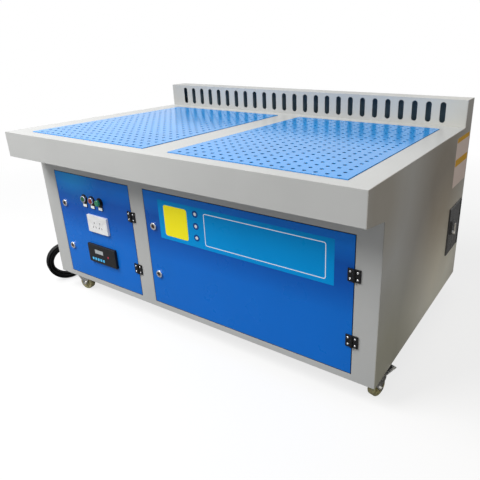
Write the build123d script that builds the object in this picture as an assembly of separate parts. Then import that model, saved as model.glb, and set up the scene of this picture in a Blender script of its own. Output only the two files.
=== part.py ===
from build123d import *
import math
import os

# Downdraft extraction table, in millimetres. X runs along the front, Y from front to back, Z up.
# The origin is on the floor, under the middle of the table.

# Overall sizes
table_width = 1500.0
table_depth = 985.0
worktop_height = 719.0
backsplash_rise = 101.0
backsplash_depth = 91.0
caster_height = 80.0
apron_overhang = 115.0
apron_face_height = 95.0
apron_back_drop = 114.0

# Sheet thicknesses and shared clearances
sheet = 2.0
pan_sheet = 3.0
seat_gap = 0.3
running_fit = 0.1
cut_overrun = 5.0

# Door openings, counted from the cabinet's left side and its underside
left_stile_width = 79.0
left_opening_width = 445.0
middle_stile_width = 73.0
right_stile_width = 74.0
bottom_rail_height = 22.0
top_rail_height = 51.0
door_gap = 3.0
door_fold = 18.0
stile_fold = 20.0

# Grates: perforated lift-out plates with folded skirts
grate_sheet = 2.0
grate_skirt = 25.0
grate_proud = 2.0
grate_fit = 2.0
grate_pitch_x = 33.9
grate_pitch_y = 33.3
grate_hole_diameter = 12.0
grate_hole_margin = 18.0
worktop_left_margin = 96.0
worktop_right_margin = 73.0
worktop_divider = 105.0
worktop_front_margin = 50.0
worktop_rear_margin = 68.0
ledge_leg = 15.0
ledge_sheet = 3.0

# Slots of the backsplash
slot_pitch = 55.0
slot_width = 22.0
slot_rise = 12.0
slot_end_margin = 60.0

# Surface hinges of the doors, their heights as shares of the door opening
hinge_width = 40.0
hinge_height = 39.0
hinge_leaf_sheet = 4.0
hinge_barrel_radius = 4.0
hinge_pin_radius = 2.0
upper_hinge_share = 0.73230
lower_hinge_share = 0.26106

# Quarter-turn locks, their heights as shares of the door opening
lock_inset = 38.0
upper_lock_share = 0.70354
lower_lock_share = 0.28319
lock_ring_radius = 14.0
lock_ring_proud = 6.0
lock_barrel_radius = 10.0
lock_core_radius = 7.7
lock_bore_radius = 8.0
lock_core_proud = 5.0
cam_reach = 50.0
cam_width = 15.0
cam_sheet = 3.0
cam_clearance = 2.5

# Push buttons and lamp on the left door, their height as a share of the door opening
button_pitch = 47.0
button_level_share = 0.78761
start_button_inset = 170.0
collar_base_radius = 15.0
collar_base_depth = 4.0
collar_ring_radius = 13.5
collar_ring_depth = 5.0
collar_body_radius = 11.0
collar_body_depth = 42.0
button_radius = 9.7
button_bore_radius = 10.0
button_proud = 1.0
button_travel = 3.0
button_stem = 14.0
lamp_lens_radius = 12.5
lamp_lens_depth = 9.0

# Mains socket on the left door
socket_inset = 237.0
socket_width = 118.0
socket_height = 72.0
socket_depth = 9.0
socket_level_share = 0.57522
socket_column = 17.2
socket_slot_width = 2.8
socket_slot_length = 9.0
socket_slot_depth = 6.0
socket_slot_pitch = 16.0
socket_slot_rise = 7.0
socket_slot_drop = 12.0
socket_slot_tilt = 30.0
socket_corner = 3.0

# Controller on the left door
controller_inset = 235.0
controller_width = 166.0
controller_height = 79.0
controller_bezel = 10.0
controller_level_share = 0.28097
controller_body_width = 150.0
controller_body_height = 66.0
controller_body_depth = 55.0
display_width = 52.0
display_height = 18.0
display_offset_x = -17.0
display_offset_z = 11.0
display_recess = 1.5
status_lamp_radius = 4.0
status_lamp_offset_x = 39.0
status_lamp_offset_z = 0.0
key_count = 5
key_size = 10.0
key_pitch = 16.0
key_offset_x = -24.5
key_offset_z = -23.0
key_proud = 1.5
key_travel = 0.8
key_stem = 4.0

# Hatch on the right side
hatch_back_gap = 45.0
hatch_depth = 150.0
hatch_rise = 157.0
hatch_height = 191.0
hatch_sheet = 6.0
hatch_overlap = 10.0
latch_inset = 25.0
latch_pivot_rise = 93.0
latch_body_width = 30.0
latch_body_height = 56.0
latch_body_depth = 9.0
latch_boss_radius = 7.5
latch_reach = 25.0
lever_length = 40.0
lever_width = 8.0
lever_sheet = 5.0
latch_shaft_radius = 5.0
latch_cam_reach = 28.0
latch_cam_width = 14.0

# Casters
wheel_radius_share = 0.3875
wheel_width = 24.0
hub_width = 27.0
hub_radius = 13.0
caster_trail = 25.0
caster_plate_size = 58.0
caster_plate_sheet = 3.0
raceway_radius = 22.0
raceway_depth = 7.5
kingpin_radius = 5.0
kingpin_head_radius = 8.0
kingpin_head_depth = 2.5
crown_sheet = 3.0
fork_sheet = 2.5
fork_side_gap = 1.5
axle_radius = 4.0
axle_head_radius = 6.5
axle_head_depth = 5.0
pedal_pin_radius = 2.5
pedal_barrel_radius = 4.5
pedal_pin_reach = 47.0
pedal_pin_drop = 8.2
pedal_reach = 110.0
pedal_width = 34.0
pedal_sheet = 3.0
front_right_caster_inset = 29.0
front_right_caster_setback = 50.5
front_left_caster_inset = 82.0
front_left_caster_setback = 39.5
rear_caster_inset = 100.0
rear_caster_setback = 134.5
front_right_trail_angle = -14.0
front_left_trail_angle = -82.0
rear_trail_angle = 0.0

# Inside: floor of the suction chamber, tube sheet and filter cartridges
partition_sheet = 3.0
plenum_left_drop = 70.0
plenum_right_drop = 104.0
cartridge_count = 3
cartridge_end_room = 160.0
cartridge_gap = 59.0
cartridge_radius_share = 0.6353
cartridge_fall_room = 314.0
cartridge_cap = 14.0
cartridge_cap_lip = 4.0
cartridge_drop = 150.0
pleat_count = 48
pleat_depth = 6.0

# Inside: pulse cleaning
tank_radius = 55.0
tank_end_room = 15.0
tank_offset = 105.0
tank_drop = 80.0
tank_bracket = 20.0
valve_radius = 27.0
valve_height = 52.0
blow_pipe_radius = 13.0
blow_pipe_wall = 2.0
blow_pipe_bend = 38.0
blow_pipe_gap = 22.0
air_inlet_radius = 11.0
air_inlet_hole_radius = 5.7
air_inlet_depth = 14.0

# Inside: fan and motor, their lengths as shares of the room's width and their radii of its height
fan_back_room = 362.5
fan_floor_gap = 2.0
fan_width_share = 0.23256
scroll_start_share = 0.31015
scroll_end_share = 0.40414
fan_inlet_share = 0.17857
outlet_height_share = 0.28195
impeller_radius_share = 0.26316
impeller_width = 90.0
impeller_hub_radius = 28.0
impeller_disc = 3.0
blade_count = 10
blade_sheet = 3.0
shaft_radius = 12.0
shaft_length = 60.0
motor_radius = 85.0
motor_side_gap = 26.0
motor_length_share = 0.33989
motor_flange_radius = 105.0
motor_flange = 12.0
fin_count = 28
fin_height = 8.0
fin_sheet = 3.0
terminal_box_size = 70.0
terminal_box_height = 38.0
outlet_slot_count = 9
outlet_slot_length = 110.0
outlet_slot_width = 8.0
outlet_slot_pitch = 15.0

# Dust drawer on its rails
drawer_left_gap = 51.0
drawer_right_gap = 93.0
drawer_front_gap = 67.5
drawer_back_gap = 132.5
drawer_height_share = 0.20301
drawer_sheet = 2.0
drawer_rail_width = 30.0
drawer_rail_rise = 24.0
drawer_handle_width = 140.0
drawer_handle_radius = 5.0
drawer_handle_reach = 29.0

# Power cord: gland, lead, coil, tail and plug
cord_diameter = 9.0
gland_setback = 257.5
gland_height = 345.0
gland_reach = 25.0
gland_hex_radius = 13.0
gland_hex_depth = 8.0
gland_dome_radius = 9.5
gland_thread_radius = 8.0
coil_layers = 4
coil_turns_per_layer = 2.375
coil_pitch = 9.6
coil_outer_radius = 84.8
coil_side_gap = 56.0
coil_setback = 61.0
coil_turn_angle = 22.9
coil_steps_per_turn = 4
coil_start_angle = 90.0
plug_radius = 19.0
plug_length = 42.0
plug_relief_length = 34.0
plug_relief_radius = 8.0
plug_pin_length = 18.0
plug_pin_radius = 2.4
plug_pin_spread = 9.5
plug_rise = 14.6
tail_step = 28.0
lead_end_run = 32.0
lead_shares = [
    (0.124638, 0.0, 0.0),
    (0.226087, -0.014493, -0.081159),
    (0.260870, -0.089855, -0.228986),
    (0.176812, -0.191304, -0.350725),
    (0.089855, -0.246377, -0.376812),
    (0.008696, -0.339130, -0.457971),
]

# Levels and planes that follow from the sizes above
x_right = table_width / 2
x_left = -x_right
x_in_right = x_right - sheet
x_in_left = -x_in_right
y_front = -table_depth / 2
y_back = table_depth / 2
y_cabinet = y_front + apron_overhang
y_splash = y_back - backsplash_depth
z_bottom = caster_height
z_top = worktop_height
z_max = worktop_height + backsplash_rise
z_apron_back = z_top - apron_back_drop
z_pan = z_bottom + pan_sheet
z_opening = z_bottom + bottom_rail_height
z_opening_top = z_apron_back - top_rail_height
opening_height = z_opening_top - z_opening

left_opening = x_left + left_stile_width + sheet
left_opening_end = left_opening + left_opening_width
right_opening = left_opening_end + middle_stile_width
right_opening_end = x_in_right - right_stile_width
right_opening_width = right_opening_end - right_opening
door_z = z_opening + door_gap
door_height = opening_height - 2 * door_gap
left_door_x = left_opening + door_gap
left_door_width = left_opening_width - 2 * door_gap
right_door_x = right_opening + door_gap
right_door_width = right_opening_width - 2 * door_gap
left_door_end = left_door_x + left_door_width
right_door_end = right_door_x + right_door_width
left_hinge_x = left_door_end + door_gap / 2
right_hinge_x = right_door_end + door_gap / 2
hinge_y = y_cabinet - hinge_barrel_radius - seat_gap
upper_hinge_height = z_opening + upper_hinge_share * opening_height
lower_hinge_height = z_opening + lower_hinge_share * opening_height
upper_lock_height = z_opening + upper_lock_share * opening_height
lower_lock_height = z_opening + lower_lock_share * opening_height
button_height = z_opening + button_level_share * opening_height
socket_centre_height = z_opening + socket_level_share * opening_height
controller_centre_height = z_opening + controller_level_share * opening_height

grates_width = x_in_right - x_in_left - worktop_left_margin - worktop_divider - worktop_right_margin
grate_width = grates_width / 2 - 2 * grate_fit
grate_room = table_depth - backsplash_depth - worktop_front_margin - worktop_rear_margin
grate_depth = grate_room - 2 * grate_fit
grate_columns = int((grate_width - 2 * grate_hole_margin) / grate_pitch_x) + 1
grate_rows = int((grate_depth - 2 * grate_hole_margin) / grate_pitch_y) + 1
slot_height = backsplash_rise - 2 * slot_rise
slot_count = int((x_in_right - x_in_left - 2 * slot_end_margin - slot_width) / slot_pitch) + 1
grate_y = y_front + worktop_front_margin + grate_fit
left_grate_x = x_left + worktop_left_margin + sheet + grate_fit
right_grate_x = left_grate_x + grate_width + 2 * grate_fit + worktop_divider
partition_x = (left_opening_end + right_opening) / 2
latch_face = x_right + hatch_sheet
hatch_front = y_back - hatch_back_gap - hatch_depth
hatch_bottom = z_bottom + hatch_rise
latch_y = hatch_front + latch_inset
latch_pivot_height = hatch_bottom + latch_pivot_rise

front_left_caster_y = y_cabinet + front_left_caster_setback
front_right_caster_y = y_cabinet + front_right_caster_setback
rear_caster_y = y_back - rear_caster_setback
front_right_caster_x = x_right - front_right_caster_inset
front_left_caster_x = x_left + front_left_caster_inset
rear_caster_x = x_right - rear_caster_inset
wheel_radius = wheel_radius_share * caster_height

plenum_high = z_top - plenum_left_drop
plenum_low = z_top - plenum_right_drop
inner_height = plenum_low - z_pan
partition_face = partition_x + partition_sheet / 2
drawer_left = partition_face + drawer_left_gap
drawer_width = x_in_right - drawer_right_gap - drawer_left
drawer_front = y_cabinet + drawer_front_gap
drawer_depth = y_back - drawer_back_gap - drawer_front
drawer_height = drawer_height_share * inner_height
drawer_top = z_pan + drawer_rail_rise + drawer_height

tank_height = plenum_low - tank_drop
cartridge_height = tank_height - cartridge_drop
cartridge_pitch = (y_back - y_cabinet) / 2 - cartridge_end_room
cartridge_room = cartridge_radius_share * (cartridge_height - drawer_top)
cartridge_radius = min((cartridge_pitch - cartridge_gap) / 2, cartridge_room)
cartridge_bore_radius = cartridge_radius * 2 / 3
cartridge_length = x_in_right - cartridge_fall_room - partition_face

machine_room = partition_x - partition_sheet / 2 - x_in_left
motor_length = motor_length_share * machine_room
fan_width = fan_width_share * machine_room
fan_left = x_in_left + motor_side_gap + motor_length + motor_flange
fan_axis_y = y_back - fan_back_room
scroll_start_radius = scroll_start_share * inner_height
scroll_end_radius = scroll_end_share * inner_height
fan_axis_height = z_pan + fan_floor_gap + scroll_end_radius
fan_inlet_radius = fan_inlet_share * inner_height
outlet_height = outlet_height_share * inner_height
impeller_radius = impeller_radius_share * inner_height

gland_y = y_cabinet + gland_setback
coil_x = x_left - coil_side_gap
coil_y = y_cabinet + coil_setback


# Shape helpers

def block(x0, x1, y0, y1, z0, z1):
    """Box between two opposite corners."""
    middle = Pos((x0 + x1) / 2, (y0 + y1) / 2, (z0 + z1) / 2)
    return middle * Box(x1 - x0, y1 - y0, z1 - z0)


def rod(start, direction, radius, length):
    """Cylinder that starts at a point and runs along a direction."""
    place = Plane(origin=start, z_dir=direction)
    return place * Cylinder(radius, length, align=(Align.CENTER, Align.CENTER, Align.MIN))


def ring(start, direction, radius, bore, length):
    """Tube that starts at a point and runs along a direction."""
    return rod(start, direction, radius, length) - rod(start, direction, bore, length)


def outline(points):
    """Flat face inside a closed run of points."""
    return make_face(Polyline(*points, close=True))


def along_x(face, x0, x1):
    """Extrude a face drawn in Y and Z from x0 to x1."""
    place = Plane(origin=(x0, 0, 0), x_dir=(0, 1, 0), z_dir=(1, 0, 0))
    return extrude(place * face, amount=x1 - x0)


def along_y(face, y0, y1):
    """Extrude a face drawn in X and Z from y0 to y1."""
    place = Plane(origin=(0, y1, 0), x_dir=(1, 0, 0), z_dir=(0, -1, 0))
    return extrude(place * face, amount=y1 - y0)


def along_z(face, z0, z1):
    """Extrude a face drawn in X and Y from z0 to z1."""
    return extrude(Pos(0, 0, z0) * face, amount=z1 - z0)


def step_direction(start, end):
    """Unit direction from one flat point to another."""
    length = math.dist(start, end)
    return (end[0] - start[0]) / length, (end[1] - start[1]) / length


def folded(points, thickness):
    """Face of a folded sheet: its outer points and the mitred points to their left."""
    inner = []
    last = len(points) - 1
    for index, (across, up) in enumerate(points):
        before = step_direction(points[max(index - 1, 0)], points[max(index, 1)])
        after = step_direction(points[min(index, last - 1)], points[min(index + 1, last)])
        normal = (-before[1] - after[1], before[0] + after[0])
        reach = 2 * thickness / (normal[0] ** 2 + normal[1] ** 2)
        inner.append((across + normal[0] * reach, up + normal[1] * reach))
    return outline(points + inner[::-1])


def save(name, *solids):
    """Write one named sub-part, made of one or more separate solids."""
    shape = solids[0] if len(solids) == 1 else Compound(children=list(solids))
    export_step(shape, f"parts/{name}.step")


# Cabinet shell

side_profile = [
    (y_back, z_bottom),
    (y_back, z_max),
    (y_splash, z_max),
    (y_splash, z_top),
    (y_front, z_top),
    (y_front, z_top - apron_face_height),
    (y_cabinet, z_apron_back),
    (y_cabinet, z_bottom),
]


def side_panel(x0):
    """Side sheet with the worktop's nose and the backsplash's end in one outline."""
    return along_x(outline(side_profile), x0, x0 + sheet)


def left_side():
    """Left side with the cord gland's hole."""
    hole = rod((x_left - cut_overrun, gland_y, gland_height), (1, 0, 0),
               gland_thread_radius, sheet + 2 * cut_overrun)
    return side_panel(x_left) - hole


def right_side():
    """Right side with the opening behind the hatch."""
    opening = block(x_in_right - cut_overrun, x_right + cut_overrun,
                    hatch_front + hatch_overlap, hatch_front + hatch_depth - hatch_overlap,
                    hatch_bottom + hatch_overlap, hatch_bottom + hatch_height - hatch_overlap)
    return side_panel(x_in_right) - opening


def back():
    """Back sheet with the fan's outlet slots and the air inlet's hole."""
    panel = block(x_in_left, x_in_right, y_back - sheet, y_back, z_bottom, z_max)
    first = fan_outlet_z() + outlet_height / 2 - (outlet_slot_count - 1) * outlet_slot_pitch / 2
    for index in range(outlet_slot_count):
        slot = SlotOverall(outlet_slot_length, outlet_slot_width)
        place = Pos(fan_left + fan_width / 2, first + index * outlet_slot_pitch)
        panel -= along_y(place * slot, y_back - sheet - cut_overrun, y_back + cut_overrun)
    inlet = rod((tank_x(), y_back - sheet - cut_overrun, tank_height), (0, 1, 0),
                air_inlet_radius + seat_gap, sheet + 2 * cut_overrun)
    return panel - inlet


def bottom():
    """Bottom pan and the two raised rails that the drawer stands on."""
    pan = block(x_in_left, x_in_right, y_cabinet + stile_fold, y_back - sheet, z_bottom, z_pan)
    rails = []
    for x0 in (drawer_left, drawer_left + drawer_width - drawer_rail_width):
        rails.append(block(x0, x0 + drawer_rail_width, y_cabinet + stile_fold,
                           drawer_front + drawer_depth, z_pan, z_pan + drawer_rail_rise))
    return [pan] + rails


def front_channels():
    """Stiles and rails of the front, folded from sheet."""
    channels = []
    stiles = (
        (x_in_left, left_opening),
        (left_opening_end, right_opening),
        (right_opening_end, x_in_right),
    )
    for x0, x1 in stiles:
        path = [(x1, y_cabinet + stile_fold), (x1, y_cabinet), (x0, y_cabinet),
                (x0, y_cabinet + stile_fold)]
        channels.append(along_z(folded(path[::-1], sheet), z_bottom, z_apron_back))
    for x0, x1 in ((left_opening, left_opening_end), (right_opening, right_opening_end)):
        for z0, z1 in ((z_bottom, z_opening), (z_opening_top, z_apron_back)):
            path = [(y_cabinet + stile_fold, z1), (y_cabinet, z1), (y_cabinet, z0),
                    (y_cabinet + stile_fold, z0)]
            channels.append(along_x(folded(path, sheet), x0, x1))
    return channels


def worktop():
    """Worktop strips around the grates, the front one folded down into the apron."""
    y0 = grate_y - grate_fit
    y1 = grate_y + grate_depth + grate_fit
    z0 = z_top - sheet
    path = [(y0, z_top), (y_front, z_top), (y_front, z_top - apron_face_height),
            (y_cabinet, z_apron_back)]
    nose = along_x(folded(path, sheet), x_in_left, x_in_right)
    rear = block(x_in_left, x_in_right, y1, y_splash + sheet, z0, z_top)
    strips = (
        (x_in_left, left_grate_x - grate_fit),
        (left_grate_x + grate_width + grate_fit, right_grate_x - grate_fit),
        (right_grate_x + grate_width + grate_fit, x_in_right),
    )
    return [nose, rear] + [block(x0, x1, y0, y1, z0, z_top) for x0, x1 in strips]


def ledges():
    """Angle ledges under the worktop's edges that carry the grates."""
    z0 = z_top + grate_proud - grate_skirt
    y0 = grate_y - grate_fit
    y1 = grate_y + grate_depth + grate_fit
    bars = []
    for grate_x in (left_grate_x, right_grate_x):
        x0 = grate_x - grate_fit
        x1 = grate_x + grate_width + grate_fit
        for edge, side in ((y0, -1), (y1, 1)):
            path = [(edge + side * ledge_sheet, z_top - sheet),
                    (edge + side * ledge_sheet, z0 - ledge_sheet),
                    (edge - side * ledge_leg, z0 - ledge_sheet)]
            face = folded(path if side < 0 else path[::-1], ledge_sheet)
            bars.append(along_x(face, x0, x1))
        for edge, side in ((x0, -1), (x1, 1)):
            path = [(edge + side * ledge_sheet, z_top - sheet),
                    (edge + side * ledge_sheet, z0 - ledge_sheet),
                    (edge - side * ledge_leg, z0 - ledge_sheet)]
            face = folded(path if side < 0 else path[::-1], ledge_sheet)
            bars.append(along_y(face, y0 + ledge_leg, y1 - ledge_leg))
    return bars


def backsplash():
    """Slotted front sheet and top sheet of the backsplash."""
    width = x_in_right - x_in_left
    height = backsplash_rise
    wires = []
    for index in range(slot_count):
        across = (index - (slot_count - 1) / 2) * slot_pitch
        slot = SlotOverall(slot_height, slot_width, rotation=90)
        up = slot_rise + slot_height / 2 - height / 2
        wires.append((Pos(across, up) * slot).face().outer_wire())
    face = Face((Rectangle(width, height)).face().outer_wire(), wires)
    front = along_y(Pos(0, z_top + height / 2) * face, y_splash, y_splash + sheet)
    top = block(x_in_left, x_in_right, y_splash + sheet, y_back - sheet, z_max - sheet, z_max)
    return [front, top]


# Grates

def grate(x0):
    """Perforated plate with a skirt folded down on all four sides."""
    z1 = z_top + grate_proud
    z0 = z1 - grate_skirt
    skirt = block(x0, x0 + grate_width, grate_y, grate_y + grate_depth, z0, z1 - grate_sheet)
    skirt -= block(x0 + grate_sheet, x0 + grate_width - grate_sheet, grate_y + grate_sheet,
                   grate_y + grate_depth - grate_sheet, z0, z1 - grate_sheet)
    holes = []
    for column in range(grate_columns):
        for row in range(grate_rows):
            across = (column - (grate_columns - 1) / 2) * grate_pitch_x
            along = (row - (grate_rows - 1) / 2) * grate_pitch_y
            holes.append((Pos(across, along) * Circle(grate_hole_diameter / 2)).face().outer_wire())
    face = Face(Rectangle(grate_width, grate_depth).face().outer_wire(), holes)
    place = Pos(x0 + grate_width / 2, grate_y + grate_depth / 2)
    return along_z(place * face, z1 - grate_sheet, z1) + skirt


# Doors

def door_panel(x0, width, holes):
    """Door pan: front sheet with its edges folded back, and the holes for its fittings."""
    x1 = x0 + width
    z1 = door_z + door_height
    pan = block(x0, x1, y_cabinet, y_cabinet + door_fold, door_z, z1)
    pan -= block(x0 + sheet, x1 - sheet, y_cabinet + sheet, y_cabinet + door_fold,
                 door_z + sheet, z1 - sheet)
    for hole in holes:
        pan -= hole
    return pan


def panel_hole(x, z, radius):
    """Cutter for a round hole through a door's front sheet."""
    return rod((x, y_cabinet - cut_overrun, z), (0, 1, 0), radius, sheet + 2 * cut_overrun)


def lock_places(door_x):
    """Centres of a door's two locks."""
    return [(door_x + lock_inset, upper_lock_height), (door_x + lock_inset, lower_lock_height)]


def lock_bezel(x, z):
    """Lock's outer ring with its barrel through the door."""
    flange = rod((x, y_cabinet - lock_ring_proud, z), (0, 1, 0), lock_ring_radius, lock_ring_proud)
    barrel = rod((x, y_cabinet, z), (0, 1, 0), lock_barrel_radius, door_fold)
    rim = flange.faces().sort_by(Axis.Y)[0].edges()
    flange = fillet(rim, lock_ring_proud / 3)
    bore = rod((x, y_cabinet - lock_ring_proud, z), (0, 1, 0), lock_bore_radius,
               lock_ring_proud + door_fold)
    return flange + barrel - bore


def lock_core(x, z):
    """Turning core with its key slot in front and its cam behind, the cam upright at rest."""
    back_end = y_cabinet + stile_fold + cam_clearance
    core = rod((x, y_cabinet - lock_core_proud, z), (0, 1, 0), lock_core_radius,
               lock_core_proud + stile_fold + cam_clearance)
    slot = block(x - lock_core_radius / 8, x + lock_core_radius / 8,
                 y_cabinet - lock_core_proud, y_cabinet - lock_core_proud / 2,
                 z - lock_core_radius / 2, z + lock_core_radius / 2)
    cam = block(x - cam_width / 2, x + cam_width / 2, back_end, back_end + cam_sheet,
                z - cam_width / 2, z + cam_reach)
    return core - slot + cam


def hinge_leaf(axis_x, z, side):
    """Half of a surface hinge: side 1 is the frame's leaf with the pin, -1 the door's leaf."""
    half = hinge_width / 2
    near = hinge_barrel_radius + seat_gap
    x0, x1 = (axis_x + near, axis_x + half) if side > 0 else (axis_x - half, axis_x - near)
    plate = block(x0, x1, y_cabinet - hinge_leaf_sheet, y_cabinet,
                  z - hinge_height / 2, z + hinge_height / 2)
    plate = fillet(plate.edges().filter_by(Axis.Z).group_by(Axis.Y)[0], hinge_leaf_sheet / 3)
    third = hinge_height / 3
    spans = ((-1, -1 / 3), (1 / 3, 1)) if side > 0 else ((-1 / 3, 1 / 3),)
    leaf = plate
    for low, high in spans:
        z0 = z + low * hinge_height / 2 + (seat_gap / 2 if low > -1 else 0)
        z1 = z + high * hinge_height / 2 - (seat_gap / 2 if high < 1 else 0)
        barrel = rod((axis_x, hinge_y, z0), (0, 0, 1), hinge_barrel_radius, z1 - z0)
        x2, x3 = (axis_x, x0) if side > 0 else (x1, axis_x)
        barrel += block(x2, x3, hinge_y - hinge_barrel_radius / 2, y_cabinet - seat_gap * 2, z0, z1)
        leaf += barrel
    if side > 0:
        pin = rod((axis_x, hinge_y, z - third / 2 - seat_gap), (0, 0, 1), hinge_pin_radius,
                  third + 2 * seat_gap)
        return leaf + pin
    return leaf - rod((axis_x, hinge_y, z - hinge_height), (0, 0, 1),
                      hinge_pin_radius + running_fit, 2 * hinge_height)


def hinge_heights():
    """Heights of the two hinges that each door hangs on."""
    return (upper_hinge_height, lower_hinge_height)


def hatch_hinge_leaf():
    """Fixed leaf of the hatch's hinge, with its pin, on the right side panel."""
    y_axis = hatch_front + hatch_depth + hinge_barrel_radius + seat_gap
    x_axis = x_right + hinge_barrel_radius + seat_gap
    z0 = hatch_bottom
    z1 = hatch_bottom + hatch_height
    leaf = block(x_right, x_right + sheet, y_axis + hinge_barrel_radius + seat_gap,
                 y_axis + hinge_width / 2, z0, z1)
    third = hatch_height / 3
    for low, high in ((z0, z0 + third - seat_gap), (z1 - third + seat_gap, z1)):
        barrel = rod((x_axis, y_axis, low), (0, 0, 1), hinge_barrel_radius, high - low)
        web = block(x_right + seat_gap, x_right + hinge_barrel_radius, y_axis,
                    y_axis + hinge_barrel_radius + seat_gap + sheet, low, high)
        leaf += barrel + web
    return leaf + rod((x_axis, y_axis, z0), (0, 0, 1), hinge_pin_radius, hatch_height)


# Controls on the left door

def button_places():
    """Centres of the start button, the stop button and the lamp."""
    return [(left_door_x + start_button_inset + index * button_pitch, button_height)
            for index in range(3)]


def button_collar(x, z, bore):
    """Collar of a control: base, ring and body through the door, with a bore for its cap."""
    y0 = y_cabinet - collar_base_depth
    base = rod((x, y0, z), (0, 1, 0), collar_base_radius, collar_base_depth)
    ringed = rod((x, y0 - collar_ring_depth, z), (0, 1, 0), collar_ring_radius, collar_ring_depth)
    rim = ringed.faces().sort_by(Axis.Y)[0].edges()
    ringed = fillet(rim, collar_ring_depth / 4)
    body = rod((x, y_cabinet, z), (0, 1, 0), collar_body_radius, collar_body_depth)
    contact = block(x - collar_body_radius, x + collar_body_radius,
                    y_cabinet + collar_body_depth / 2, y_cabinet + collar_body_depth,
                    z - collar_base_radius, z + collar_base_radius)
    depth = collar_ring_depth + collar_base_depth + button_stem
    hole = rod((x, y0 - collar_ring_depth, z), (0, 1, 0), bore, depth)
    return base + ringed + body + contact - hole


def push_cap(x, z):
    """Moving cap of a push button."""
    face = y_cabinet - collar_base_depth - collar_ring_depth - button_proud
    length = button_proud + collar_ring_depth + collar_base_depth + button_stem
    length -= button_travel + seat_gap
    cap = rod((x, face, z), (0, 1, 0), button_radius, length)
    return fillet(cap.faces().sort_by(Axis.Y)[0].edges(), button_proud / 4)


def lamp(x, z):
    """Domed lens of the indicator lamp on its collar."""
    face = y_cabinet - collar_base_depth - collar_ring_depth
    lens = rod((x, face - lamp_lens_depth, z), (0, 1, 0), lamp_lens_radius, lamp_lens_depth)
    lens = fillet(lens.faces().sort_by(Axis.Y)[0].edges(), lamp_lens_depth / 2)
    stem = rod((x, face, z), (0, 1, 0), button_radius, collar_ring_depth)
    return lens + stem


def socket():
    """Surface socket plate with two groups of three slots side by side."""
    x = left_door_x + socket_inset
    z = socket_centre_height
    face = y_cabinet - socket_depth
    plate = block(x - socket_width / 2, x + socket_width / 2, face, y_cabinet,
                  z - socket_height / 2, z + socket_height / 2)
    plate = fillet(plate.edges().filter_by(Axis.Y), socket_corner)
    plate = fillet(plate.faces().sort_by(Axis.Y)[0].edges(), socket_corner / 2)
    pair = socket_slot_pitch / 2
    slots = ((0, socket_slot_rise, 0), (-pair, -socket_slot_drop, socket_slot_tilt),
             (pair, -socket_slot_drop, -socket_slot_tilt))
    for side in (-1, 1):
        for across, up, tilt in slots:
            hole = Box(socket_slot_width, 2 * socket_slot_depth, socket_slot_length)
            place = Pos(x + side * socket_column + across, face, z + up)
            plate -= place * Rot(0, tilt, 0) * hole
    return plate


def controller():
    """Controller housing with recesses for its window, lamp and keys, and its body behind."""
    x = left_door_x + controller_inset
    z = controller_centre_height
    face = y_cabinet - controller_bezel
    body = block(x - controller_width / 2, x + controller_width / 2, face, y_cabinet,
                 z - controller_height / 2, z + controller_height / 2)
    body = fillet(body.faces().sort_by(Axis.Y)[0].edges(), controller_bezel / 6)
    body += block(x - controller_body_width / 2, x + controller_body_width / 2, y_cabinet,
                  y_cabinet + controller_body_depth, z - controller_body_height / 2,
                  z + controller_body_height / 2)
    body -= display_box(face, display_recess * 2)
    body -= rod(status_lamp_place(face), (0, 1, 0), status_lamp_radius, display_recess * 2)
    for index in range(key_count):
        key_x, key_z = key_place(index)
        half = key_size / 2 + seat_gap
        body -= block(key_x - half, key_x + half, face, face + key_stem + key_travel,
                      key_z - half, key_z + half)
    return body


def display_box(y0, depth):
    """Block behind the controller's window."""
    x = left_door_x + controller_inset + display_offset_x
    z = controller_centre_height + display_offset_z
    return block(x - display_width / 2, x + display_width / 2, y0, y0 + depth,
                 z - display_height / 2, z + display_height / 2)


def status_lamp_place(y0):
    """Front centre of the controller's small lamp."""
    return (left_door_x + controller_inset + status_lamp_offset_x, y0,
            controller_centre_height + status_lamp_offset_z)


def display():
    """Window and small lamp of the controller."""
    face = y_cabinet - controller_bezel
    pane = display_box(face + display_recess / 2, display_recess * 3 / 2)
    place = status_lamp_place(face - display_recess / 2)
    return [pane, rod(place, (0, 1, 0), status_lamp_radius, display_recess * 5 / 2)]


def key_place(index):
    """Centre of one of the controller's keys."""
    x = left_door_x + controller_inset + key_offset_x + (index - (key_count - 1) / 2) * key_pitch
    return x, controller_centre_height + key_offset_z


def key(index):
    """Moving key of the controller."""
    x, z = key_place(index)
    face = y_cabinet - controller_bezel
    cap = block(x - key_size / 2, x + key_size / 2, face - key_proud,
                face + key_stem - seat_gap, z - key_size / 2, z + key_size / 2)
    return fillet(cap.faces().sort_by(Axis.Y)[0].edges(), key_proud / 3)


# Hatch on the right side

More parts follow.
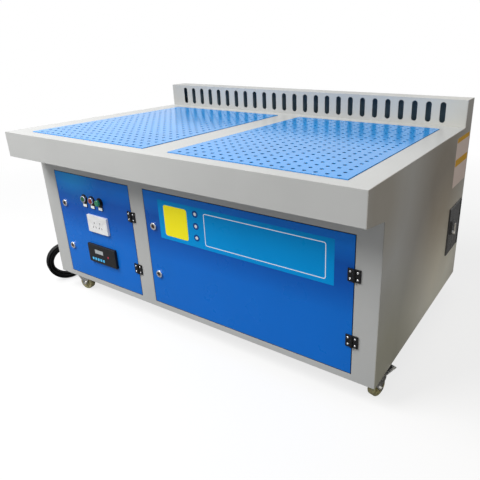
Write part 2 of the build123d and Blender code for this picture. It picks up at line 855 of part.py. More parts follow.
def hatch():
    """Hatch plate with its knuckle, and the black body of its latch."""
    y0 = hatch_front
    y1 = hatch_front + hatch_depth
    plate = block(x_right, latch_face, y0, y1, hatch_bottom, hatch_bottom + hatch_height)
    rim = plate.faces().sort_by(Axis.X)[-1].edges()
    plate = fillet(rim, hatch_sheet / 4)
    y_axis = y1 + hinge_barrel_radius + seat_gap
    x_axis = x_right + hinge_barrel_radius + seat_gap
    third = hatch_height / 3
    z0 = hatch_bottom + third
    knuckle = rod((x_axis, y_axis, z0), (0, 0, 1), hinge_barrel_radius, third)
    knuckle += block(x_right + seat_gap, latch_face - hatch_sheet / 4, y1 - sheet, y_axis, z0,
                     z0 + third)
    knuckle -= rod((x_axis, y_axis, z0), (0, 0, 1), hinge_pin_radius + running_fit, third)
    shaft_hole = rod((x_right - cut_overrun, latch_y, latch_pivot_height), (1, 0, 0),
                     latch_shaft_radius + seat_gap, latch_reach + cut_overrun)
    z_low = latch_pivot_height - latch_boss_radius - seat_gap
    body = block(latch_face, latch_face + latch_body_depth, latch_y - latch_body_width / 2,
                 latch_y + latch_body_width / 2, z_low, z_low + latch_body_height)
    body = fillet(body.edges().filter_by(Axis.X), latch_body_width / 6)
    return [plate + knuckle - shaft_hole, body - shaft_hole]


def hatch_lever():
    """Latch lever with its shaft and the cam behind the hatch, both upright at rest."""
    x0 = latch_face + latch_body_depth + seat_gap
    x1 = x_right + latch_reach
    boss = rod((x0, latch_y, latch_pivot_height), (1, 0, 0), latch_boss_radius, x1 - x0)
    arm = block(x1 - lever_sheet, x1, latch_y - lever_width / 2, latch_y + lever_width / 2,
                latch_pivot_height, latch_pivot_height + lever_length)
    arm = fillet(arm.edges().filter_by(Axis.X).group_by(Axis.Z)[-1], lever_width / 3)
    cam_x = x_in_right - cam_clearance
    shaft = rod((cam_x - cam_sheet, latch_y, latch_pivot_height), (1, 0, 0), latch_shaft_radius,
                x0 - cam_x + cam_sheet)
    cam = block(cam_x - cam_sheet, cam_x, latch_y - latch_cam_width / 2,
                latch_y + latch_cam_width / 2, latch_pivot_height - latch_cam_width / 2,
                latch_pivot_height + latch_cam_reach)
    return boss + arm + shaft + cam


# Casters, drawn with the swivel axis at X = Y = 0 and the wheel trailing towards +Y

def caster_places():
    """Name, swivel axis and trail angle of each caster."""
    return [
        ("front_left", front_left_caster_x, front_left_caster_y, front_left_trail_angle),
        ("front_right", front_right_caster_x, front_right_caster_y, front_right_trail_angle),
        ("rear_left", -rear_caster_x, rear_caster_y, rear_trail_angle),
        ("rear_right", rear_caster_x, rear_caster_y, rear_trail_angle),
    ]


crown_top = caster_height - caster_plate_sheet - raceway_depth - seat_gap
crown_bottom = crown_top - crown_sheet
pedal_pin_height = crown_top - pedal_pin_drop
fork_inner = hub_width / 2 + fork_side_gap
fork_outer = fork_inner + fork_sheet


def caster_top():
    """Top plate with its raceway and the riveted kingpin."""
    half = caster_plate_size / 2
    plate = block(-half, half, -half, half, caster_height - caster_plate_sheet, caster_height)
    plate = fillet(plate.edges().filter_by(Axis.Z), half / 5)
    race_z = crown_top + seat_gap
    plate += rod((0, 0, race_z), (0, 0, 1), raceway_radius, raceway_depth)
    head_z = crown_bottom - seat_gap - kingpin_head_depth
    plate += rod((0, 0, head_z), (0, 0, 1), kingpin_radius, race_z - head_z)
    return plate + rod((0, 0, head_z), (0, 0, 1), kingpin_head_radius, kingpin_head_depth)


def caster_fork(has_pedal):
    """Fork with its two legs, and the axle bolt with its head and nut."""
    crown = rod((0, 0, crown_bottom), (0, 0, 1), raceway_radius, crown_sheet)
    crown += block(-fork_outer, fork_outer, 0, raceway_radius + crown_sheet, crown_bottom, crown_top)
    crown -= rod((0, 0, crown_bottom), (0, 0, 1), kingpin_radius + running_fit, crown_sheet)
    foot = axle_head_radius + fork_sheet
    ear = pedal_pin_reach + pedal_barrel_radius if has_pedal else caster_trail + foot
    leg_points = [
        (-raceway_radius * 2 / 3, crown_top),
        (-raceway_radius * 2 / 3, crown_bottom),
        (caster_trail - foot, wheel_radius),
        (caster_trail - foot / 2, wheel_radius - foot),
        (caster_trail + foot / 2, wheel_radius - foot),
        (caster_trail + foot, wheel_radius),
        (ear, pedal_pin_height - pedal_barrel_radius),
        (ear, crown_top),
    ]
    legs = []
    for x0 in (-fork_outer, fork_inner):
        legs.append(along_x(outline(leg_points), x0, x0 + fork_sheet))
    fork = crown + legs[0] + legs[1]
    axle_hole = rod((-fork_outer, caster_trail, wheel_radius), (1, 0, 0), axle_radius,
                    2 * fork_outer)
    fork -= axle_hole
    if has_pedal:
        fork += rod((-fork_outer, pedal_pin_reach, pedal_pin_height), (1, 0, 0),
                    pedal_pin_radius, 2 * fork_outer)
    axle = rod((-fork_outer, caster_trail, wheel_radius), (1, 0, 0), axle_radius, 2 * fork_outer)
    for x0 in (-fork_outer - axle_head_depth, fork_outer):
        place = Plane(origin=(x0, caster_trail, wheel_radius), z_dir=(1, 0, 0))
        axle += extrude(place * RegularPolygon(axle_head_radius, 6), amount=axle_head_depth)
    return [fork, axle]


def caster_wheel():
    """Wheel with a crowned tread, its hub and the axle bore."""
    half = wheel_width / 2
    tread = rod((-half, caster_trail, wheel_radius), (1, 0, 0), wheel_radius, wheel_width)
    tread = fillet(tread.edges().filter_by(GeomType.CIRCLE), wheel_width / 6)
    groove_depth = wheel_width / 6
    for x0 in (-half, half - groove_depth):
        tread -= ring((x0, caster_trail, wheel_radius), (1, 0, 0), wheel_radius * 2 / 3,
                      hub_radius, groove_depth)
    hub = rod((-hub_width / 2, caster_trail, wheel_radius), (1, 0, 0), hub_radius, hub_width)
    bore = rod((-hub_width / 2, caster_trail, wheel_radius), (1, 0, 0), axle_radius + running_fit,
               hub_width)
    return tread + hub - bore


def brake_pedal():
    """Foot pedal that turns on the pin between the fork's ears."""
    half = fork_inner - seat_gap
    y0 = pedal_pin_reach
    barrel = rod((-half, y0, pedal_pin_height), (1, 0, 0), pedal_barrel_radius, 2 * half)
    face = outline([
        (y0, pedal_pin_height + pedal_barrel_radius - pedal_sheet),
        (y0, pedal_pin_height + pedal_barrel_radius),
        (pedal_reach - pedal_sheet * 2, pedal_pin_height + pedal_barrel_radius),
        (pedal_reach, pedal_pin_height),
        (pedal_reach - pedal_sheet, pedal_pin_height - pedal_sheet),
        (pedal_reach - pedal_sheet * 3, pedal_pin_height + pedal_barrel_radius - pedal_sheet),
    ])
    neck = along_x(face, -half, half)
    tip_y = y0 + pedal_barrel_radius + (fork_outer - fork_inner) + seat_gap * 3
    tread = block(-pedal_width / 2, pedal_width / 2, tip_y, pedal_reach - pedal_sheet * 2,
                  pedal_pin_height + pedal_barrel_radius - pedal_sheet,
                  pedal_pin_height + pedal_barrel_radius)
    bore = rod((-half, y0, pedal_pin_height), (1, 0, 0), pedal_pin_radius + running_fit, 2 * half)
    return barrel + neck + tread - bore


# Suction chamber, tube sheet and filter cartridges

def plenum_floor():
    """Sloping sheet over the fan's chamber that leads the dust to the filters."""
    end = partition_x - partition_sheet / 2
    face = outline([(x_in_left, plenum_high), (end, plenum_low), (end, plenum_low - sheet),
                    (x_in_left, plenum_high - sheet)])
    return along_y(face, y_cabinet + stile_fold + seat_gap, y_back - sheet)


def cartridge_y(index):
    """Place of a cartridge's axis from front to back."""
    middle = (y_cabinet + y_back) / 2
    return middle + (index - (cartridge_count - 1) / 2) * cartridge_pitch


def tube_sheet():
    """Upright partition with one hole for each cartridge."""
    panel = block(partition_x - partition_sheet / 2, partition_face,
                  y_cabinet + stile_fold, y_back - sheet, z_pan, plenum_low)
    for index in range(cartridge_count):
        start = (partition_x - partition_sheet / 2 - cut_overrun, cartridge_y(index),
                 cartridge_height)
        panel -= rod(start, (1, 0, 0), cartridge_bore_radius, partition_sheet + 2 * cut_overrun)
    return panel


def cartridge(index):
    """Pleated filter cartridge between its open and its closed end cap."""
    y = cartridge_y(index)
    z = cartridge_height
    x0 = partition_face
    open_cap = ring((x0, y, z), (1, 0, 0), cartridge_radius + cartridge_cap_lip,
                    cartridge_bore_radius, cartridge_cap)
    points = []
    for step in range(2 * pleat_count):
        angle = math.pi * step / pleat_count
        reach = cartridge_radius - (pleat_depth if step % 2 else 0)
        points.append((y + reach * math.cos(angle), z + reach * math.sin(angle)))
    media = along_x(outline(points), x0 + cartridge_cap, x0 + cartridge_length - cartridge_cap)
    media -= rod((x0 + cartridge_cap, y, z), (1, 0, 0), cartridge_bore_radius,
                 cartridge_length - 2 * cartridge_cap)
    closed_cap = rod((x0 + cartridge_length - cartridge_cap, y, z), (1, 0, 0),
                     cartridge_radius + cartridge_cap_lip, cartridge_cap)
    return [open_cap, media, closed_cap]


# Pulse cleaning

def tank_x():
    """Place of the air tank's axis, beside the tube sheet."""
    return partition_x - tank_offset


def tank():
    """Air tank with its inlet stub through the back, and its brackets to the tube sheet."""
    x = tank_x()
    y1 = y_back - sheet - tank_bracket
    y0 = cartridge_y(0) - valve_radius - tank_end_room
    tank_length = y1 - y0
    body = rod((x, y0, tank_height), (0, 1, 0), tank_radius, tank_length)
    body = fillet(body.edges().filter_by(GeomType.CIRCLE), tank_radius / 4)
    body += rod((x, y1 - tank_bracket, tank_height), (0, 1, 0), air_inlet_radius,
                y_back - y1 + tank_bracket)
    body -= rod((x, y_back, tank_height), (0, -1, 0), air_inlet_hole_radius, air_inlet_depth)
    brackets = []
    for y in (y0 + tank_radius, y1 - tank_radius - tank_bracket):
        bar = block(x, partition_x - partition_sheet / 2, y, y + tank_bracket,
                    tank_height - tank_bracket / 2, tank_height + tank_bracket / 2)
        brackets.append(bar - rod((x, y0, tank_height), (0, 1, 0), tank_radius, tank_length))
    return [body] + brackets


def pulse_valve(index):
    """Valve under the tank, and the bent blow pipe from it to a cartridge's mouth."""
    x = tank_x()
    y = cartridge_y(index)
    top = tank_height - tank_radius
    valve = rod((x, y, top - valve_height), (0, 0, 1), valve_radius, valve_height + valve_radius / 2)
    valve -= rod((x, y - 2 * valve_radius, tank_height), (0, 1, 0), tank_radius, 4 * valve_radius)
    end_x = partition_x - partition_sheet / 2 - blow_pipe_gap
    start = (x, y, top - valve_height)
    corner_up = (x, y, cartridge_height + blow_pipe_bend)
    corner_out = (x + blow_pipe_bend, y, cartridge_height)
    path = Line(start, corner_up) + TangentArc(corner_up, corner_out, tangent=(0, 0, -1))
    path += Line(corner_out, (end_x, y, cartridge_height))
    section = Plane(origin=start, z_dir=(0, 0, -1)) * Circle(blow_pipe_radius)
    inside = Plane(origin=start, z_dir=(0, 0, -1)) * Circle(blow_pipe_radius - blow_pipe_wall)
    pipe = sweep(section, path=path) - sweep(inside, path=path)
    return [valve, pipe]


# Fan and motor

def fan_outlet_z():
    """Underside of the fan's outlet duct."""
    return fan_axis_height - scroll_end_radius


def scroll_outline(grow):
    """Outline of the fan's scroll and outlet in Y and Z, grown outwards by a wall."""
    points = []
    steps = 24
    for step in range(steps + 1):
        share = step / steps
        angle = math.radians(-60) + share * math.radians(330)
        reach = scroll_start_radius + share * (scroll_end_radius - scroll_start_radius) + grow
        points.append((fan_axis_y + reach * math.cos(angle),
                       fan_axis_height + reach * math.sin(angle)))
    floor = fan_outlet_z() - grow
    end_y = y_back - sheet
    roof = fan_outlet_z() + outlet_height + grow
    return [(end_y, roof), points[0]] + points[1:] + [(end_y, floor)]


def fan_housing():
    """Scroll housing with its inlet ring and outlet duct, and the foot that carries it."""
    x1 = fan_left + fan_width
    body = along_x(outline(scroll_outline(0)), fan_left, x1)
    body -= along_x(outline(scroll_outline(-sheet)), fan_left + sheet, x1 - sheet)
    body -= rod((x1 - sheet - cut_overrun, fan_axis_y, fan_axis_height), (1, 0, 0),
                fan_inlet_radius, sheet + 2 * cut_overrun)
    body += ring((x1, fan_axis_y, fan_axis_height), (1, 0, 0), fan_inlet_radius + sheet,
                 fan_inlet_radius, cartridge_cap)
    body -= rod((fan_left - cut_overrun, fan_axis_y, fan_axis_height), (1, 0, 0),
                shaft_radius + sheet, sheet + 2 * cut_overrun)
    foot_y = fan_axis_y - fan_width
    foot = block(fan_left, fan_left + fan_width, foot_y, fan_axis_y + fan_width, z_pan,
                 z_pan + sheet)
    for x0 in (fan_left, x1 - sheet):
        foot += block(x0, x0 + sheet, foot_y, fan_axis_y + fan_width, z_pan,
                      fan_axis_height - scroll_start_radius)
    foot -= along_x(outline(scroll_outline(0)), fan_left, x1)
    return [body, foot]


def motor():
    """Finned motor with its mounting flange, terminal box and bored shaft end."""
    x1 = fan_left
    x0 = x1 - motor_flange - motor_length
    centre = (x0, fan_axis_y, fan_axis_height)
    body = rod(centre, (1, 0, 0), motor_radius - fin_height, motor_length)
    for index in range(fin_count):
        fin = block(x0 + motor_flange * 2, x1 - motor_flange * 2, -fin_sheet / 2, fin_sheet / 2,
                    motor_radius - fin_height * 2, motor_radius)
        turned = Rot(360 * index / fin_count, 0, 0) * fin
        body += Pos(0, fan_axis_y, fan_axis_height) * turned
    body += rod((x1 - motor_flange, fan_axis_y, fan_axis_height), (1, 0, 0), motor_flange_radius,
                motor_flange)
    top = fan_axis_height + motor_radius - fin_height
    body += block(x0 + motor_flange * 3, x0 + motor_flange * 3 + terminal_box_size,
                  fan_axis_y - terminal_box_size / 2, fan_axis_y + terminal_box_size / 2,
                  top - fin_height, top + terminal_box_height)
    return body - rod((x1, fan_axis_y, fan_axis_height), (-1, 0, 0), shaft_radius + running_fit,
                      shaft_length / 2)


def impeller():
    """Bladed wheel between its disc and its front ring, on its shaft."""
    x1 = fan_left + (fan_width + impeller_width) / 2
    x0 = x1 - impeller_width
    centre = (x0, fan_axis_y, fan_axis_height)
    wheel = rod(centre, (1, 0, 0), impeller_radius, impeller_disc)
    wheel += rod(centre, (1, 0, 0), impeller_hub_radius, impeller_width / 2)
    wheel += ring((x1 - impeller_disc, fan_axis_y, fan_axis_height), (1, 0, 0), impeller_radius,
                  fan_inlet_radius, impeller_disc)
    for index in range(blade_count):
        blade = block(x0, x1, -blade_sheet / 2, blade_sheet / 2, fan_inlet_radius / 2,
                      impeller_radius - blade_sheet)
        turned = Rot(360 * index / blade_count, 0, 0) * blade
        wheel += Pos(0, fan_axis_y, fan_axis_height) * turned
    end = fan_left - shaft_length / 2 + seat_gap
    wheel += rod((end, fan_axis_y, fan_axis_height), (1, 0, 0), shaft_radius, x0 - end)
    return wheel


# Dust drawer

def drawer():
    """Open dust drawer and its bent pull."""
    x0 = drawer_left
    x1 = drawer_left + drawer_width
    y0 = drawer_front
    y1 = drawer_front + drawer_depth
    z0 = z_pan + drawer_rail_rise
    z1 = z0 + drawer_height
    tray = block(x0, x1, y0, y1, z0, z1)
    tray -= block(x0 + drawer_sheet, x1 - drawer_sheet, y0 + drawer_sheet, y1 - drawer_sheet,
                  z0 + drawer_sheet, z1)
    middle = (x0 + x1) / 2
    z = (z0 + z1) / 2
    half = drawer_handle_width / 2
    reach = drawer_handle_reach - drawer_handle_radius
    grip = rod((middle - half, y0 - reach, z), (1, 0, 0), drawer_handle_radius,
               drawer_handle_width)
    for x in (middle - half + 2 * drawer_handle_radius, middle + half - 2 * drawer_handle_radius):
        grip += rod((x, y0 - reach, z), (0, 1, 0), drawer_handle_radius * 3 / 4, reach)
    return [tray, grip]


# Power cord

def gland():
    """Cord gland with its hexagon, dome and threaded end in the side panel."""
    place = Plane(origin=(x_left, gland_y, gland_height), z_dir=(-1, 0, 0))
    body = extrude(place * RegularPolygon(gland_hex_radius, 6), amount=gland_hex_depth)
    dome = rod((x_left, gland_y, gland_height), (-1, 0, 0), gland_dome_radius, gland_reach)
    dome = fillet(dome.faces().sort_by(Axis.X)[0].edges(), gland_dome_radius / 3)
    thread = rod((x_left, gland_y, gland_height), (1, 0, 0), gland_thread_radius - seat_gap,
                 sheet + gland_hex_depth)
    nut_place = Plane(origin=(x_in_left, gland_y, gland_height), z_dir=(1, 0, 0))
    nut = extrude(nut_place * RegularPolygon(gland_hex_radius, 6), amount=gland_hex_depth / 2)
    return body + dome + thread + nut


coil_height = coil_outer_radius + cord_diameter / 2 + seat_gap
coil_axis = (math.cos(math.radians(coil_turn_angle)), -math.sin(math.radians(coil_turn_angle)), 0)
coil_across = (-coil_axis[1], coil_axis[0], 0)
coil_frame = Plane(origin=(coil_x, coil_y, coil_height), x_dir=coil_across, z_dir=coil_axis)
coil_quarter = 90.0
coil_whole = 360.0


def coil_point(angle):
    """Point of the coil's centre line after a turn, in its own frame."""
    layer_span = coil_whole * coil_turns_per_layer
    layer = min(int(angle // layer_span), coil_layers - 1)
    along = angle / layer_span - layer
    inward = along if layer % 2 == 0 else 1 - along
    radius = coil_outer_radius - inward * coil_turns_per_layer * coil_pitch
    level = 0.0
    for border in range(1, coil_layers):
        share = (angle - border * layer_span + coil_quarter) / (2 * coil_quarter)
        share = min(max(share, 0), 1)
        level += share * share * (3 - 2 * share)
    turned = math.radians(coil_start_angle + angle)
    height = (coil_layers - 1) / 2 - level
    return Vector(radius * math.cos(turned), radius * math.sin(turned), height * coil_pitch)


def coil_direction(angle):
    """Unit direction of the coil's centre line."""
    step = 0.01
    last = coil_whole * coil_turns_per_layer * coil_layers
    ahead = coil_point(min(angle + step, last))
    return (ahead - coil_point(max(angle - step, 0))).normalized()


def biarc(start, start_way, end, end_way):
    """Two tangent arcs between two points with given directions."""
    chord = end - start
    ways = start_way + end_way
    square = 2 * (1 - start_way.dot(end_way))
    reach = chord.dot(ways)
    size = (math.sqrt(reach * reach + square * chord.dot(chord)) - reach) / square
    joint_start = start + start_way * size
    joint_end = end - end_way * size
    joint = (joint_start + joint_end) * 0.5
    joint_way = (joint_end - joint_start).normalized()
    return [TangentArc(start, joint, tangent=start_way), TangentArc(joint, end, tangent=joint_way)]


def coil_path():
    """Coil's centre line: straight ends and two arcs for each quarter turn."""
    total = coil_whole * coil_turns_per_layer * coil_layers
    count = round(total / coil_whole * coil_steps_per_turn)
    angles = [total * index / count for index in range(count + 1)]
    points = [coil_point(angle) for angle in angles]
    first = Vector(-1, 0, 0)
    last = Vector(1, 0, 0)
    ways = [first] + [coil_direction(angle) for angle in angles[1:-1]] + [last]
    edges = [Line(points[0] - first * cord_diameter, points[0])]
    for index in range(count):
        edges += biarc(points[index], ways[index], points[index + 1], ways[index + 1])
    edges.append(Line(points[-1], points[-1] + last * cord_diameter))
    return Wire([edge.edge() for edge in edges])


def least_gap(path):
    """Least clear gap between the coil's turns, measured on points along its line."""
    count = 1200
    reach = cord_diameter * 3
    points = [path.position_at(index / count) for index in range(count + 1)]
    step = path.length / count
    least = None
    for index, point in enumerate(points):
        for other in range(index + math.ceil(reach / step), count + 1):
            gap = (points[other] - point).length - cord_diameter
            least = gap if least is None else min(least, gap)
    return least


def lead_points():
    """Route of the lead from the gland to the coil, chosen by hand."""
    tip = (x_left - gland_reach, gland_y, gland_height)
    route = [tip]
    for outward, along, up in lead_shares:
        route.append((tip[0] - outward * gland_height, tip[1] + along * gland_height,
                      tip[2] + up * gland_height))
    end = coil_frame.from_local_coords(coil_point(0) + Vector(cord_diameter, 0, 0))
    return route + [tuple(end + Vector(*coil_across) * lead_end_run), tuple(end)]


def tail_points():
    """Route of the tail from the coil's foot up to the plug."""
    total = coil_whole * coil_turns_per_layer * coil_layers
    start = coil_point(total) + Vector(cord_diameter, 0, 0)
    rises = (0, 0, plug_rise, plug_rise)
    points = []
    for index, rise in enumerate(rises):
        local = start + Vector(index * tail_step, rise, 0)
        points.append(tuple(coil_frame.from_local_coords(local)))
    return points


def corner_radii(points):
    """Radius of the arc at each corner of a route."""
    radii = []
    for before, corner, after in zip(points, points[1:], points[2:]):
        come = Vector(*corner) - Vector(*before)
        leave = Vector(*after) - Vector(*corner)
        turn = math.radians(come.get_angle(leave))
        radii.append(0.45 * min(come.length, leave.length) / math.tan(turn / 2))
    return radii


def cord_tube(points):
    """Tube of the cord along straight runs joined by tangent arcs."""
    radii = corner_radii(points)
    print("corner radii", [round(radius, 1) for radius in radii])
    path = FilletPolyline(*points, radius=radii)
    start = Vector(*points[0])
    section = Plane(origin=start, z_dir=Vector(*points[1]) - start) * Circle(cord_diameter / 2)
    tube = sweep(section, path=path)
    expected = math.pi * (cord_diameter / 2) ** 2 * path.length
    print("tube length", round(path.length, 1), "volume share", round(tube.volume / expected, 4))
    return tube


def coil():
    """Wound coil of the cord as one unbroken tube."""
    path = coil_path()
    print("coil length", round(path.length, 1), "least gap", round(least_gap(path), 2))
    start = path.position_at(0)
    section = Plane(origin=start, z_dir=path.tangent_at(0)) * Circle(cord_diameter / 2)
    return coil_frame * sweep(section, path=path)


def plug():
    """Plug with its tapered relief and three pins, lying on the floor."""
    points = tail_points()
    start = Vector(*points[-1])
    way = Vector(*coil_across)
    relief = Solid.make_cone(cord_diameter / 2 + seat_gap, plug_relief_radius, plug_relief_length,
                             plane=Plane(origin=start, z_dir=way))
    body_start = start + way * plug_relief_length
    body = rod(body_start, way, plug_radius, plug_length)
    body = fillet(body.edges().filter_by(GeomType.CIRCLE), plug_radius / 4)
    face = body_start + way * plug_length
    shape = body + relief
    side = Vector(0, 0, 1).cross(way)
    for turn in (90, 210, 330):
        offset = side * math.cos(math.radians(turn)) + Vector(0, 0, 1) * math.sin(math.radians(turn))
        pin_start = face + offset * plug_pin_spread - way * plug_pin_radius
        shape += rod(pin_start, way, plug_pin_radius, plug_pin_length + plug_pin_radius)
    return shape


# Write the sub-parts

def write_cabinet():
    """Fixed sheets of the cabinet and the grates."""
    save("left_side_panel", left_side())
    save("right_side_panel", right_side())
    save("back_panel", back())
    save("bottom_pan", *bottom())
    save("front_frame", *front_channels())
    save("worktop_frame", *worktop())
    save("grate_ledges", *ledges())
    save("backsplash", *backsplash())
    save("left_grate", grate(left_grate_x))
    save("right_grate", grate(right_grate_x))


def write_doors():
    """Doors with their hinges, locks and controls."""
    left_locks = lock_places(left_door_x)
    right_locks = lock_places(right_door_x)
    left_holes = [panel_hole(x, z, lock_barrel_radius) for x, z in left_locks]
    left_holes += [panel_hole(x, z, collar_body_radius) for x, z in button_places()]
    x = left_door_x + controller_inset
    z = controller_centre_height
    left_holes.append(block(x - controller_body_width / 2, x + controller_body_width / 2,
                            y_cabinet - cut_overrun, y_cabinet + cut_overrun,
                            z - controller_body_height / 2, z + controller_body_height / 2))
    right_holes = [panel_hole(x, z, lock_barrel_radius) for x, z in right_locks]
    save("left_door_panel", door_panel(left_door_x, left_door_width, left_holes))
    save("right_door_panel", door_panel(right_door_x, right_door_width, right_holes))
    frame_leaves = []
    for name, axis_x in (("left", left_hinge_x), ("right", right_hinge_x)):
        frame_leaves += [hinge_leaf(axis_x, z, 1) for z in hinge_heights()]
        save(f"{name}_door_hinge_leaves", *[hinge_leaf(axis_x, z, -1) for z in hinge_heights()])
    save("hinge_frame_leaves", *frame_leaves, hatch_hinge_leaf())
    for name, places in (("left", left_locks), ("right", right_locks)):
        save(f"{name}_door_lock_bezels", *[lock_bezel(x, z) for x, z in places])
        for level, (x, z) in zip(("upper", "lower"), places):
            save(f"{name}_{level}_lock_core", lock_core(x, z))


def write_controls():
    """Buttons, lamp, socket and controller of the left door."""
    start, stop, light = button_places()
    collars = [button_collar(*start, button_bore_radius), button_collar(*stop, button_bore_radius),
               button_collar(*light, button_radius)]
    save("button_collars", *collars)
    save("start_button", push_cap(*start))
    save("stop_button", push_cap(*stop))
    save("indicator_lamp", lamp(*light))
    save("socket_outlet", socket())
    save("controller_housing", controller())
    save("controller_window", *display())
    for index in range(key_count):
        save(f"controller_key_{index + 1}", key(index))


def write_hatch():
    """Hatch on the right side and its lever."""
    save("side_hatch", *hatch())
    save("hatch_lever", hatch_lever())


def write_casters():
    """Four swivel casters, the front two with brake pedals."""
    plates = []
    for name, x, y, angle in caster_places():
        braked = name.startswith("front")
        place = Pos(x, y, 0) * Rot(0, 0, angle)
        plates.append(Pos(x, y, 0) * caster_top())
        save(f"{name}_caster_fork", *[place * solid for solid in caster_fork(braked)])
        save(f"{name}_caster_wheel", place * caster_wheel())
        if braked:
            save(f"{name}_brake_pedal", place * brake_pedal())
    save("caster_plates", *plates)


def write_inside():
    """Filter, pulse cleaning, fan, motor and drawer."""
    save("plenum_floor", plenum_floor())
    save("tube_sheet", tube_sheet())
    cartridges = []
    valves = []
    for index in range(cartridge_count):
        cartridges += cartridge(index)
        valves += pulse_valve(index)
    save("filter_cartridges", *cartridges)
    save("air_tank", *tank())
    save("pulse_valves", *valves)
    save("fan_housing", *fan_housing())
    save("fan_motor", motor())
    save("fan_impeller", impeller())
    save("dust_drawer", *drawer())


def write_cord():
    """Power cord from its gland to its plug."""
    save("cable_gland", gland())
    save("cord_lead", cord_tube(lead_points()))
    save("cord_coil", coil())
    save("cord_tail", cord_tube(tail_points()))
    save("plug", plug())


os.makedirs("parts", exist_ok=True)
write_cabinet()
write_doors()
write_controls()
write_hatch()
write_casters()
write_inside()
write_cord()
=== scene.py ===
"""Downdraft extraction table: camera, cord, materials, trim, stage and light over the frame."""

import bpy
import bmesh
import math
from mathutils import Matrix, Vector


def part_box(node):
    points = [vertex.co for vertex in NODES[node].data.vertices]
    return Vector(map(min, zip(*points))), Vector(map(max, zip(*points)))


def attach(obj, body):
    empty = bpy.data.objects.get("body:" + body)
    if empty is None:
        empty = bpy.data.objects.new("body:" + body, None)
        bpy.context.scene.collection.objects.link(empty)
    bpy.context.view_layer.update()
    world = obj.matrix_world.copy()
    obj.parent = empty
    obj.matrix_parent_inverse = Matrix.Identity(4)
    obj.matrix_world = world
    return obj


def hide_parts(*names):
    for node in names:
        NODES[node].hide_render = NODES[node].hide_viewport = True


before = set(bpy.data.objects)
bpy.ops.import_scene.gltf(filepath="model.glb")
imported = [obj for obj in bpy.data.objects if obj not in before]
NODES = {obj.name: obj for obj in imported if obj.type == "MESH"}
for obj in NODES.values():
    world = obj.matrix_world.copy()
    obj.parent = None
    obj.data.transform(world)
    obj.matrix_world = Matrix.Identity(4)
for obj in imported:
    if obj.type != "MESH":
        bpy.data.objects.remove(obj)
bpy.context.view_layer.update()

# Camera, from the photograph's perspective: place, view direction and the frame's offset
CAMERA_PLACE = (1.1455, -1.441, 1.0389)
CAMERA_RIGHT = (0.84594, 0.53313, -0.01241)
CAMERA_FORWARD = (-0.50101, 0.78659, -0.36093)
LENS = 35.5
SENSOR = 36.0
SHIFT_X = -0.1056
SHIFT_Y = -0.0387

# Power cord: route of the lead and the tail, and the coil between them, in metres
CORD_DIAMETER = 0.009
LEAD_ROUTE = [
    (-0.775, -0.120, 0.345),
    (-0.818, -0.120, 0.345),
    (-0.853, -0.125, 0.317),
    (-0.865, -0.151, 0.266),
    (-0.836, -0.186, 0.224),
    (-0.806, -0.205, 0.215),
    (-0.778, -0.237, 0.187),
]
LEAD_END_RUN = 0.032
TAIL_STEP = 0.028
PLUG_RISE = 0.0146
COIL_PLACE = (-0.806, -0.3165, 0.0896)
COIL_TURN = math.radians(22.9)
COIL_LAYERS = 4
COIL_TURNS_PER_LAYER = 2.375
COIL_PITCH = 0.0096
COIL_RADIUS = 0.0848
COIL_POINTS_PER_TURN = 16
COIL_START = math.radians(90)
COIL_CLIMB = math.radians(90)

# Colours, as linear red, green and blue
SHELL_PAINT = (0.64, 0.645, 0.63)
# Paler colour of the shell's edges: painted edge highlight, with a little wear
SHELL_EDGE_WEAR_AND_HIGHLIGHT = (0.78, 0.77, 0.74)
DOOR_PAINT = (0.004, 0.195, 0.80)
GRATE_ENAMEL = (0.030, 0.37, 0.94)
HATCH_PAINT = (0.060, 0.061, 0.065)
GALVANISED = (0.44, 0.45, 0.46)
BANNER_BLUE = (0.001, 0.40, 1.0)
PATCH_YELLOW = (0.88, 0.78, 0.015)
PRINT_WHITE = (0.88, 0.91, 0.92)
LABEL_PALE = (0.86, 0.72, 0.66)
LABEL_OCHRE = (0.76, 0.42, 0.03)

# Broad tones of painted light and shade in the paint, standing in for sheens, reflections and
# shade: centre or height, reach, then the tones at its start and its end
PLAIN = (1.0, 1.0, 1.0)
# Right side: painted reflection, lighter low towards the back, and painted shade, darker and
# browner high towards the back, high at the front and low at the front
SIDE_PAINTED_LIGHT = [
    ((0.75, 0.25, 0.16), (0.10, 0.46), (1.85, 1.80, 1.62), PLAIN),
    ((0.75, 0.17, 0.56), (0.12, 0.45), (0.60, 0.53, 0.45), PLAIN),
    ((0.75, -0.40, 0.66), (0.06, 0.22), (0.80, 0.75, 0.68), PLAIN),
    ((0.75, -0.30, 0.12), (0.08, 0.34), (0.88, 0.86, 0.73), PLAIN),
]
# Backsplash: painted light, lighter towards its right end
SPLASH_PAINTED_LIGHT = [((0.75, 0.44, 0.80), (0.04, 0.45), (1.30, 1.28, 1.22), PLAIN)]
# Doors: painted shade from 0.3 m upwards, partly lifted again as painted light in the top band, and
# a painted reflection near the top left of the left door
DOOR_PAINTED_LIGHT = [
    ("height", (0.30, 0.40), PLAIN, (0.42, 0.63, 0.76)),
    ("height", (0.460, 0.515), PLAIN, (1.80, 2.05, 1.66)),
    ((-0.56, -0.377, 0.585), (0.05, 0.17), (5.5, 1.75, 1.1), PLAIN),
]
# Side hatch: painted reflection, lighter overall and most of all low towards the back
HATCH_PAINTED_REFLECTION = [((0.756, 0.37, 0.16), (0.09, 0.27), (2.2, 2.15, 2.05), (1.3, 1.3, 1.3))]


def vector_sum(origin, *parts):
    """Point reached from an origin along scaled directions."""
    point = Vector(origin)
    for direction, amount in parts:
        point += Vector(direction) * amount
    return point


def node_range(name, axis):
    """Lowest and highest coordinate of a CAD node along one axis."""
    low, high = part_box(name)
    return low[axis], high[axis]


# Camera


